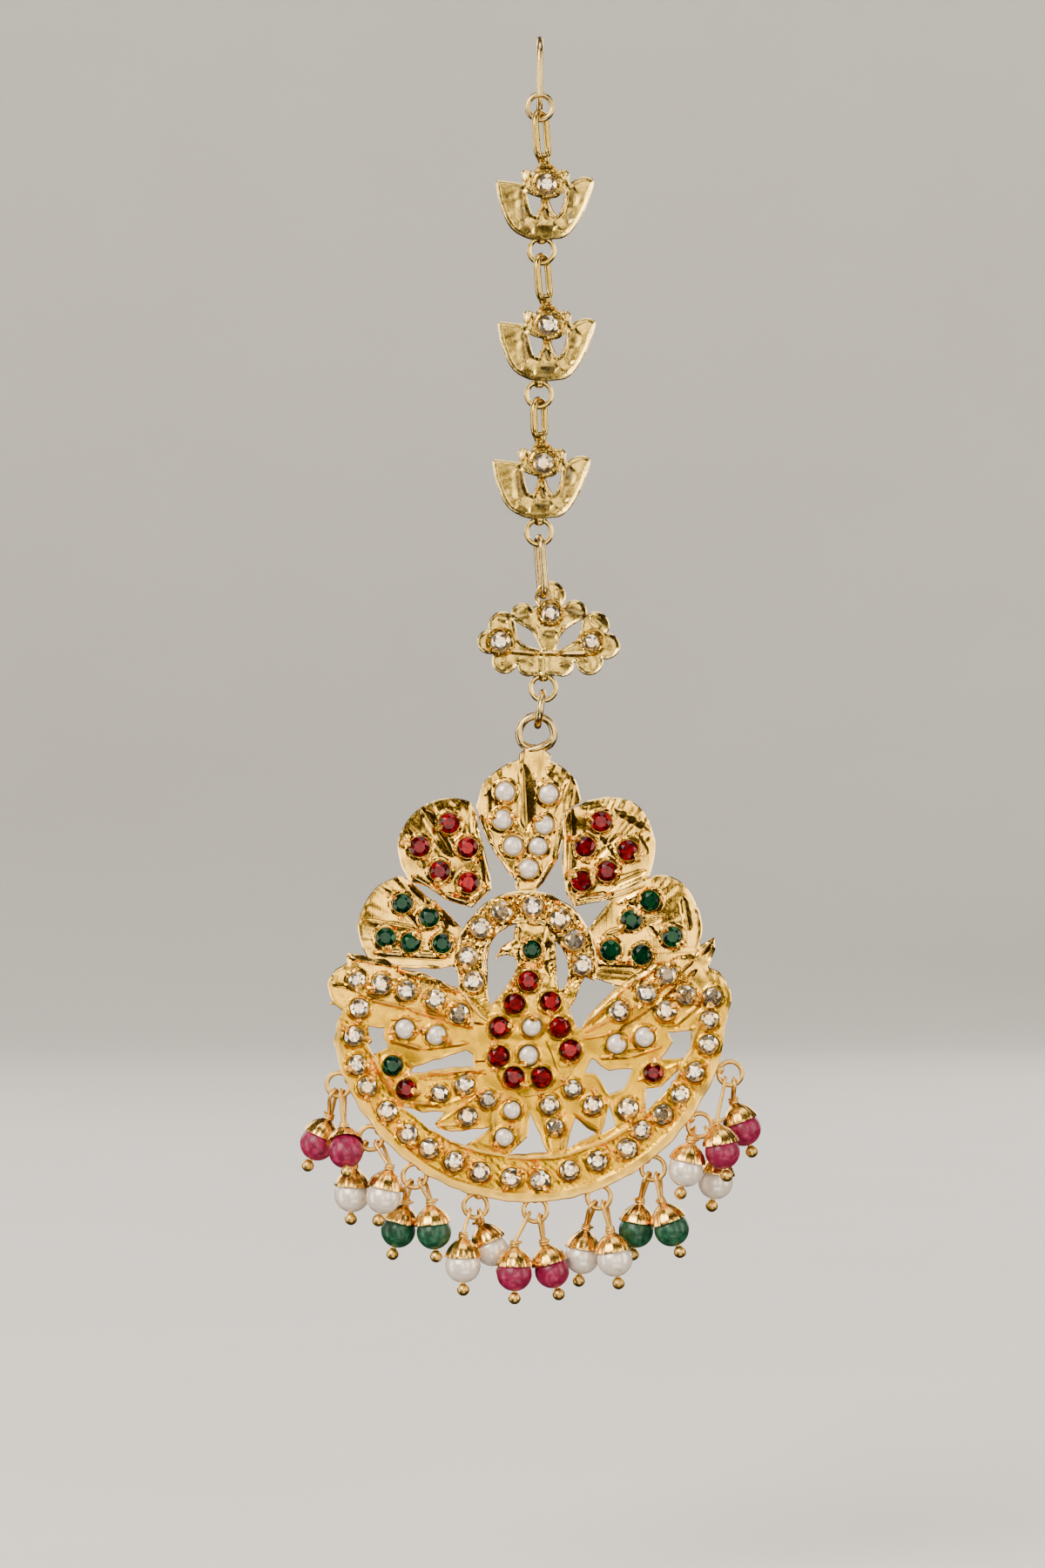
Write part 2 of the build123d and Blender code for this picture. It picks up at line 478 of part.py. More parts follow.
for name, x, z, ring_x, ring_z, above_x, above_z in LOTUSES:
    with BuildPart() as lotus:
        back = front(-CHAIN_PLATE / 2, x, z)
        with BuildSketch(back):
            with BuildLine():
                Spline(*LOTUS_CUP_LEFT)
                Line(LOTUS_CUP_LEFT[-1], LOTUS_CUP_RIGHT[0])
                Spline(*LOTUS_CUP_RIGHT)
                Polyline(LOTUS_CUP_RIGHT[-1], (4.2, 0.8), (2.7, 0.1), (-2.8, 0.1), LOTUS_CUP_LEFT[0])
            make_face()
            outline(((-1.9, 0.5), (-1.3, 1.7), (-0.4, 3.2), (0.3, 2.6), (1.4, 1.5), (1.8, 0.5)))
            outline(((-3.0, 1.4), (-2.4, 1.8), (-1.7, 1.5), (-1.2, 0.0), (-2.7, -0.1)))
            outline(((1.3, 1.7), (2.1, 1.7), (2.6, 1.2), (2.6, -0.1), (1.0, 0.0)))
            Circle(1.85)
        extrude(amount=CHAIN_PLATE)
        with BuildSketch(front(CHAIN_PLATE / 2, x, z)):
            Circle(1.8)
        extrude(amount=COLLAR_TOP - CHAIN_PLATE / 2, taper=20)
        with BuildSketch(back):
            outline(LOTUS_GAP_LEFT)
            outline(LOTUS_GAP_RIGHT)
        extrude(amount=2, mode=Mode.SUBTRACT)
        with BuildSketch(front(SEAT_FLOOR, x, z)):
            Circle(LOTUS_STONE + SEAT_PLAY)
        extrude(amount=2, mode=Mode.SUBTRACT)
        flat_ring(x + ring_x, z + ring_z, RING_MEAN, RING_WIRE)
        link_top = above_z - RING_MEAN + RING_WIRE + LINK_WIRE + SLACK
        foot = (x - 0.4, CHAIN_Y, z + 2.85)
        wire_loop(foot, (above_x, CHAIN_Y, link_top), LINK_HALF, LINK_WIRE, LINK_TURN)
    lotus_parts["lotus_" + name] = lotus
    with BuildPart() as crystal:
        set_stone(lotus_stone, x, z)
    lotus_stones["lotus_" + name + "_crystal"] = crystal

# ---------------------------------------------------------------- cloud plate and its link

CLOUD = (1.0, -69.2)
CLOUD_HOLE = (-0.6, 5.4)
CLOUD_HOLE_SIZE = 0.58
CLOUD_RING = (-0.6, -5.2)
# Each row is a lobe of the plate's edge: x, z and radius from the plate's centre.
CLOUD_LOBES = (
    (0.2, 5.3, 1.8), (-3.0, 3.3, 1.3), (-5.3, 2.0, 1.6), (-6.8, 0.1, 1.4), (-5.0, -2.0, 1.55),
    (-2.3, -2.5, 1.35), (1.6, -2.5, 1.35), (4.7, -2.1, 1.6), (6.7, -0.4, 1.5), (5.4, 2.0, 1.6),
    (3.0, 3.5, 1.4),
)
# The raised ledge along the plate's lower half.
CLOUD_LEDGE = (
    (-5.6, -1.4), (-1.1, -0.9), (1.1, -1.0), (5.2, -1.5), (4.6, -3.2), (1.6, -3.4), (-2.4, -3.4),
    (-5.0, -3.1),
)
# Each row is a stone: x, z, its radius and the radius of the metal round it.
CLOUD_STONES = ((0.2, 3.4, 1.0, 1.5), (-5.5, 0.1, 1.15, 1.5), (4.9, 0.0, 0.95, 1.35))

with BuildPart() as cloud_plate:
    with BuildSketch(front(-CHAIN_PLATE / 2, *CLOUD)):
        for x, z, radius in CLOUD_LOBES:
            with Locations((x, z)):
                Circle(radius)
        outline([(x, z) for x, z, radius in CLOUD_LOBES])
        outline(((-3.3, -2.0), (2.6, -2.0), (1.6, -3.8), (-2.6, -3.8)))
        with BuildLine():
            ThreePointArc((-3.9, 2.5), (-3.3, 0.2), (-0.9, -0.8))
            ThreePointArc((-0.9, -0.8), (-2.0, 1.3), (-3.9, 2.5))
        make_face(mode=Mode.SUBTRACT)
        with BuildLine():
            ThreePointArc((3.9, 2.7), (3.2, 0.4), (0.9, -0.9))
            ThreePointArc((0.9, -0.9), (1.6, 1.1), (3.9, 2.7))
        make_face(mode=Mode.SUBTRACT)
        with Locations(CLOUD_HOLE):
            Circle(CLOUD_HOLE_SIZE, mode=Mode.SUBTRACT)
    extrude(amount=CHAIN_PLATE)
    with BuildSketch(front(CHAIN_PLATE / 2, *CLOUD)):
        for x, z, radius, collar in CLOUD_STONES:
            with Locations((x, z)):
                Circle(collar)
    extrude(amount=COLLAR_TOP - CHAIN_PLATE / 2)
    with BuildSketch(front(CHAIN_PLATE / 2, *CLOUD)):
        outline(CLOUD_LEDGE)
    extrude(amount=0.3, taper=35)
    with BuildSketch(front(SEAT_FLOOR, *CLOUD)):
        for x, z, radius, collar in CLOUD_STONES:
            with Locations((x, z)):
                Circle(radius + SEAT_PLAY)
    extrude(amount=2, mode=Mode.SUBTRACT)
    flat_ring(CLOUD[0] + CLOUD_RING[0], CLOUD[1] + CLOUD_RING[1], RING_MEAN, RING_WIRE)

with BuildPart() as cloud_crystals:
    for x, z, radius, collar in CLOUD_STONES:
        set_stone(cut_stone(radius), CLOUD[0] + x, CLOUD[1] + z)

with BuildPart() as cloud_link:
    lotus_ring_x = LOTUSES[-1][1] + LOTUSES[-1][3]
    lotus_ring_z = LOTUSES[-1][2] + LOTUSES[-1][4]
    link_top = lotus_ring_z - RING_MEAN + RING_WIRE + LINK_WIRE + SLACK
    hole = (CLOUD[0] + CLOUD_HOLE[0], CHAIN_Y, CLOUD[1] + CLOUD_HOLE[1])
    wire_loop(hole, (lotus_ring_x, CHAIN_Y, link_top), LINK_HALF, LINK_WIRE, turn=12)

# ---------------------------------------------------------------- pendant link and pendant plate

CLOUD_RING_AT = Vector(CLOUD[0] + CLOUD_RING[0], CHAIN_Y, CLOUD[1] + CLOUD_RING[1])
TOP_RING_AT = Vector(PENDANT[0] + 0.9, CHAIN_Y, PENDANT[1] + 31.0)
DOWN = (TOP_RING_AT - CLOUD_RING_AT).normalized()

with BuildPart() as pendant_link:
    upper = CLOUD_RING_AT + DOWN * (RING_MEAN - RING_WIRE - LINK_WIRE - JUMP_SLACK)
    lower = TOP_RING_AT - DOWN * (TOP_RING_MEAN - TOP_RING_WIRE - LINK_WIRE - JUMP_SLACK)
    with Locations(Plane(origin=(upper + lower) / 2, x_dir=(0, 1, 0), z_dir=DOWN.cross(Vector(0, 1, 0)))):
        Torus((lower - upper).length / 2, LINK_WIRE)

with BuildPart() as pendant_plate:
    # The sheet: the crescent's disc below its tips, the arch, the lobes and the wings.
    with BuildSketch(on_pendant(-PLATE / 2)):
        Circle(CRESCENT)
        with Locations((0, 0.2)):
            Rectangle(3 * CRESCENT, 2 * CRESCENT, align=(Align.CENTER, Align.MAX), mode=Mode.INTERSECT)
        for rim, sides in LOBES.values():
            lobe(rim, sides)
        with Locations(ARCH):
            Circle(ARCH_OUTER)
        outline(WINGS)
        outline(SOLDER_TAB)
    extrude(amount=PLATE)
    # Relief: the crescent's two rims, the arch, the lobes' flutes, the bird and the feathers.
    with BuildSketch(on_pendant(PLATE / 2)):
        Circle(CRESCENT - 0.1)
        Circle(CRESCENT - 1.0, mode=Mode.SUBTRACT)
        with Locations((0, -4.4)):
            Rectangle(3 * CRESCENT, 2 * CRESCENT, align=(Align.CENTER, Align.MAX), mode=Mode.INTERSECT)
    extrude(amount=RELIEF)
    with BuildSketch(on_pendant(PLATE / 2)):
        with Locations(INNER_SHIFT):
            Circle(CRESCENT_INNER + 0.7)
            Circle(CRESCENT_INNER, mode=Mode.SUBTRACT)
        with Locations((0, -4.4)):
            Rectangle(3 * CRESCENT, 2 * CRESCENT, align=(Align.CENTER, Align.MAX), mode=Mode.INTERSECT)
    extrude(amount=RELIEF)
    with BuildSketch(on_pendant(PLATE / 2)):
        with Locations(ARCH):
            Circle(ARCH_OUTER - 0.3)
            Circle(ARCH_INNER, mode=Mode.SUBTRACT)
        with Locations((0, 1.4)):
            Rectangle(3 * CRESCENT, 2 * CRESCENT, align=(Align.CENTER, Align.MIN), mode=Mode.INTERSECT)
    extrude(amount=RELIEF)
    with BuildSketch(on_pendant(PLATE / 2)):
        outline(BIRD)
    extrude(amount=RELIEF)
    for points in FEATHERS:
        raised(points, PLATE / 2, RELIEF, 30)
    for root_x, root_z, reach, first, last in FLUTES.values():
        step = (last - first) / (FLUTES_PER_LOBE - 1)
        for number in range(FLUTES_PER_LOBE):
            with BuildSketch(on_pendant(PLATE / 2)):
                flute(root_x, root_z, reach, first + number * step)
            extrude(amount=RELIEF, taper=20)
    # The metal round each stone, then the openings and the stones' seats.
    with BuildSketch(on_pendant(PLATE / 2)):
        for x, z, radius in SEATS:
            with Locations((x, z)):
                Circle(radius + COLLAR)
    extrude(amount=COLLAR_TOP - PLATE / 2)
    with BuildSketch(on_pendant(-PLATE)):
        for points in OPENINGS.values():
            outline(points)
    extrude(amount=3 * PLATE, mode=Mode.SUBTRACT)
    with BuildSketch(on_pendant(SEAT_FLOOR)):
        for x, z, radius in SEATS:
            with Locations((x, z)):
                Circle(radius + SEAT_PLAY)
    extrude(amount=2 * PLATE, mode=Mode.SUBTRACT)
    # The soldered rings.
    flat_ring(TOP_RING_AT.X, TOP_RING_AT.Z, TOP_RING_MEAN, TOP_RING_WIRE)
    for number in range(1, len(DROP_RINGS) + 1):
        flat_ring(*ring_centre(number), DROP_RING_MEAN, RING_WIRE)
        with Locations(front(0, *ring_centre(number, inwards=DROP_RING_MEAN))):
            Cylinder(DROP_SOLDER, PLATE - 0.2)

# ---------------------------------------------------------------- stones and drops

stone_sizes = {radius for rows in CUT_FIELDS.values() for x, z, radius in rows}
stones = {radius: cut_stone(radius) for radius in stone_sizes}
stone_fields = {}
for name, rows in CUT_FIELDS.items():
    with BuildPart() as field:
        for x, z, radius in rows:
            set_stone(stones[radius], PENDANT[0] + x, PENDANT[1] + z)
    stone_fields[name] = field
for name, rows in PEARL_FIELDS.items():
    with BuildPart() as field:
        for x, z, radius in rows:
            half_pearl(PENDANT[0] + x, PENDANT[1] + z, radius)
    stone_fields[name] = field

beads = {}
headpins = {}
with BuildPart() as bead_caps:
    for number, letter, right, down, forward, swing, lean in DROPS:
        bead_cap(drop_frame(number, right, down, forward, swing, lean))
for number, letter, right, down, forward, swing, lean in DROPS:
    with BuildPart() as bead:
        drilled_bead(drop_frame(number, right, down, forward, swing, lean))
    beads[f"bead_{number}{letter}"] = bead
for pair in range(1, len(DROP_RINGS) + 1):
    with BuildPart() as pins:
        for number, *place in DROPS:
            if number == pair:
                headpin(number, drop_frame(number, *place[1:]))
    headpins[f"headpins_{pair}"] = pins

# ---------------------------------------------------------------- files

pieces = {
    "hook": hook,
    "cloud_link": cloud_link,
    "cloud_plate": cloud_plate,
    "cloud_crystals": cloud_crystals,
    "pendant_link": pendant_link,
    "pendant_plate": pendant_plate,
    "bead_caps": bead_caps,
}
pieces |= lotus_parts | lotus_stones | stone_fields | beads | headpins
os.makedirs("parts", exist_ok=True)
for name, piece in pieces.items():
    piece.part.label = name
    export_step(piece.part, f"parts/{name}.step")
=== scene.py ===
"""A maang tikka, dressed: relief, cut stones, pearls, beads and their finishes round the CAD frame.

Lengths are in millimetres until a mesh is made. x runs to the right and z up. A depth is measured forwards
from the middle of the metal plates. Places on the pendant are x and z from the centre of its crescent.
"""

from math import acos, ceil, cos, degrees, pi, radians, sin

import bpy
import numpy as np
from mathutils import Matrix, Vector, geometry


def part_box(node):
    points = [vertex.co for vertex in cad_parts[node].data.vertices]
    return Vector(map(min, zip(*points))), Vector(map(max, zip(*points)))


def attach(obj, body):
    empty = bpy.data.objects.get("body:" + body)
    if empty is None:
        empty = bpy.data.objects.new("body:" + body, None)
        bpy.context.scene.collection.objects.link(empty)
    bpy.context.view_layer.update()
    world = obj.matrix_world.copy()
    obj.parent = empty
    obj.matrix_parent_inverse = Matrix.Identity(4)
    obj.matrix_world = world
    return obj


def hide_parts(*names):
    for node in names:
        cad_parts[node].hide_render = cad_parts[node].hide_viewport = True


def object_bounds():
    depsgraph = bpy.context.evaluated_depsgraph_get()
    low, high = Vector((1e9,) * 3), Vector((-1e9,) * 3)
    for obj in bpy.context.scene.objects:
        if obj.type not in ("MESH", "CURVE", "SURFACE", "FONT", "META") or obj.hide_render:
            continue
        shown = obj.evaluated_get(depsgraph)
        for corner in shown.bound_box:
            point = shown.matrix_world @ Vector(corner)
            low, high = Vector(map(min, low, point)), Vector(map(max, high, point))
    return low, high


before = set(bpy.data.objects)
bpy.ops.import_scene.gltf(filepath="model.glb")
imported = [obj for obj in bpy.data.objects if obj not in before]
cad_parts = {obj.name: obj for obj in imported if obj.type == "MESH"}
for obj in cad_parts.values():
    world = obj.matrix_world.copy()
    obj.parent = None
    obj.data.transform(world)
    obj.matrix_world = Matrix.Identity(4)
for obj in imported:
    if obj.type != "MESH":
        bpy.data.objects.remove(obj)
CAD_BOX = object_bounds()

bl_info = {
    "name": "Maang Tikka Dresser",
    "version": (1, 0, 0),
    "blender": (4, 5, 0),
    "location": "3D View > Sidebar > Tikka",
    "description": "Cast and cut gold, foiled stones, pearls and fluted caps for a forehead jewel",
    "category": "Object",
}

MM = 0.001
# The thickness of the pendant's plate, the y of its middle, and x and z of the crescent's centre.
PLATE = 1.0
PLATE_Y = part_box("pendant_plate")[1].y / MM - PLATE / 2
PENDANT = np.array((-1.3, -110.6))
BODY = "pendant"
FORWARD = np.array((0.0, -1.0, 0.0))
# The seed that every random draw starts from, and how many sine waves make ripples.
SEED = 7
WAVES = 8

# ---------------------------------------------------------------- the pendant's outlines

# The crescent's outer radius, its inner one with a centre of its own, and how high its ends reach.
CRESCENT = 22.8
CRESCENT_INNER = 19.5
INNER_CENTRE = (0.15, 2.1)
CRESCENT_TOP = 0.2
ARCH = (-0.3, 4.8)
ARCH_OUTER = 8.2
ARCH_INNER = 4.85

# Each feather lobe: its smooth rim, then the corners of its sides.
LOBES = {
    "centre": (
        ((-6.0, 22.7), (-4.6, 26.0), (0.3, 28.4), (4.9, 26.3), (6.1, 23.2)),
        ((4.3, 22.2), (4.1, 19.2), (3.3, 16.4), (1.8, 14.0), (0.6, 12.8), (-1.2, 12.8), (-1.9, 14.4),
         (-3.5, 16.7), (-4.7, 18.7), (-5.7, 21.2)),
    ),
    "left_red": (
        ((-6.2, 22.2), (-6.9, 23.2), (-9.4, 23.6), (-12.7, 22.3), (-14.9, 19.2), (-14.7, 16.2),
         (-13.7, 14.0)),
        ((-11.6, 13.4), (-9.7, 12.0), (-6.5, 11.0), (-4.3, 13.2), (-4.4, 14.7), (-4.7, 16.2), (-5.2, 18.2)),
    ),
    "right_red": (
        ((5.6, 22.7), (7.3, 23.4), (10.0, 23.7), (12.8, 22.5), (14.4, 19.2), (14.4, 16.6), (13.6, 13.8)),
        ((10.8, 12.4), (9.3, 11.9), (5.1, 11.1), (4.1, 13.2), (3.8, 16.2), (4.3, 22.2)),
    ),
    "left_green": (
        ((-13.7, 14.2), (-15.2, 14.6), (-17.9, 12.9), (-19.5, 9.7), (-19.3, 7.2), (-18.4, 5.0)),
        ((-15.0, 4.4), (-8.6, 4.2), (-7.4, 8.4), (-9.7, 10.8), (-11.7, 12.4)),
    ),
    "right_green": (
        ((13.4, 14.3), (15.3, 14.8), (17.9, 13.6), (19.8, 9.9), (19.7, 7.2), (19.0, 5.2)),
        ((13.8, 3.6), (10.3, 2.0), (7.3, 3.0), (6.5, 7.7), (7.6, 9.8), (9.3, 11.9)),
    ),
}
SOLDER_TAB = ((-1.2, 27.6), (2.3, 27.6), (2.6, 28.5), (1.8, 29.2), (-0.4, 29.2), (-1.1, 28.7))
WINGS = (
    (-20.7, 5.8), (-18.5, 5.4), (-15.0, 4.8), (-8.6, 4.5), (-7.0, 3.0), (-2.0, 0.0), (5.4, -2.0),
    (7.5, 1.0), (13.8, 4.4), (18.6, 5.9), (20.2, 7.0), (21.3, 7.7), (21.5, 6.2), (20.7, 4.2), (21.8, 3.6),
    (22.6, 2.7), (23.1, 1.7), (23.2, 0.2), (22.7, -2.0), (0.0, -12.0), (-22.1, -4.0), (-21.9, -1.8),
    (-21.4, -0.8), (-22.2, 0.0), (-22.9, 0.9), (-23.1, 2.0), (-22.9, 2.8), (-22.2, 4.0), (-20.9, 4.6),
)
BIRD = (
    (3.2, 9.4), (3.1, 2.7), (3.7, 1.4), (4.9, -0.6), (5.9, -3.2), (6.0, -6.3), (4.2, -9.2), (1.8, -10.7),
    (-0.8, -10.7), (-3.2, -9.4), (-4.8, -6.4), (-4.9, -2.8), (-4.3, -0.3), (-2.7, 1.7), (-1.7, 3.2),
    (-1.3, 4.7), (-1.7, 5.4), (-2.4, 5.6), (-3.2, 5.5), (-3.8, 5.1), (-3.2, 6.4), (-2.2, 7.1), (-1.7, 7.3),
    (-1.7, 9.3),
)
OPENINGS = (
    ((-4.3, 17.2), (-1.4, 14.0), (-4.0, 12.2), (-4.25, 14.5)),
    ((-9.9, 11.9), (-6.5, 10.9), (-5.9, 10.6), (-7.7, 8.7)),
    ((3.3, 16.5), (3.8, 15.7), (4.2, 13.4), (4.4, 11.8), (1.4, 13.4)),
    ((5.3, 11.0), (9.4, 11.8), (7.6, 9.7), (6.8, 8.7)),
    ((-1.4, 9.1), (-2.2, 8.9), (-3.6, 8.1), (-4.5, 6.7), (-4.75, 4.7), (-4.7, 3.2), (-4.7, 0.9),
     (-4.4, -0.3), (-3.9, 0.3), (-2.7, 1.8), (-1.7, 3.2), (-1.3, 4.7), (-1.7, 5.4), (-2.4, 5.6),
     (-3.2, 5.5), (-3.8, 5.1), (-3.2, 6.4), (-2.2, 7.1), (-1.7, 7.3), (-1.7, 8.4)),
    ((3.1, 7.2), (3.8, 6.4), (4.4, 5.2), (4.6, 3.7), (4.3, 2.2), (3.6, 1.5), (3.2, 2.7)),
    ((-15.0, 4.1), (-12.2, 4.0), (-8.7, 4.2), (-8.1, 3.4), (-8.0, 2.0), (-8.8, 2.0), (-10.7, 3.0),
     (-12.7, 3.6)),
    ((6.5, 3.1), (7.3, 2.7), (10.3, 1.9), (8.3, 0.2), (6.8, -1.6), (6.0, -2.8), (5.6, -2.8), (5.1, -1.8),
     (4.5, -0.6), (5.3, 0.4), (5.8, 1.7)),
    ((-18.5, -2.7), (-16.5, -2.7), (-16.6, -3.8), (-16.2, -5.0), (-17.9, -5.8), (-18.3, -4.8)),
    ((-13.2, -7.3), (-10.7, -6.5), (-7.1, -5.4), (-6.5, -5.8), (-6.3, -7.3), (-8.7, -7.3), (-11.7, -7.8),
     (-13.7, -8.0)),
    ((-14.4, -11.8), (-12.2, -12.4), (-9.5, -12.4), (-10.7, -13.8), (-10.4, -14.4), (-8.7, -14.6),
     (-6.2, -14.5), (-4.4, -14.1), (-5.9, -15.6), (-7.2, -16.2), (-9.2, -15.6), (-11.0, -14.5),
     (-12.7, -13.3)),
    ((16.0, -3.3), (18.8, -3.1), (18.6, -4.8), (17.8, -6.1), (17.3, -6.3), (15.3, -6.3), (15.8, -5.6),
     (16.6, -4.3)),
    ((7.2, -6.3), (7.6, -6.5), (8.3, -7.2), (9.3, -7.7), (10.1, -7.5), (11.9, -7.6), (11.8, -8.0),
     (11.3, -9.3), (10.5, -10.0), (9.3, -10.4), (8.5, -9.1), (7.8, -8.2), (6.5, -7.8)),
    ((13.5, -9.7), (15.3, -9.5), (17.3, -7.6), (16.8, -9.1), (15.3, -10.6), (13.6, -12.4), (13.4, -10.9)),
    ((0.2, -12.6), (0.7, -13.8), (2.1, -17.1), (-2.3, -17.3), (-0.2, -15.3)),
    ((5.4, -13.1), (6.8, -14.3), (7.8, -14.9), (4.3, -16.7), (4.8, -14.8)),
    ((9.3, -11.7), (10.0, -14.1), (8.3, -15.0)),
    ((-24.0, -0.1), (-22.2, -0.1), (-21.4, -0.8), (-21.9, -1.8), (-22.3, -4.2), (-24.0, -4.4)),
)

LOBE_DEPTHS = {"left_green": 0.48, "right_green": 0.48, "left_red": 0.54, "right_red": 0.54, "centre": 0.62}
FLUTE_COUNT = 9
# The flutes of each lobe: x and z of their root, their reach, and the first and last direction in degrees.
FLUTES = {
    "centre": (0.3, 14.6, 11.5, 62, 118),
    "left_red": (-5.4, 12.4, 10.2, 98, 153),
    "right_red": (5.0, 12.4, 10.2, 84, 29),
    "left_green": (-8.2, 6.4, 10.0, 127, 182),
    "right_green": (7.8, 5.6, 10.6, 57, 0),
}

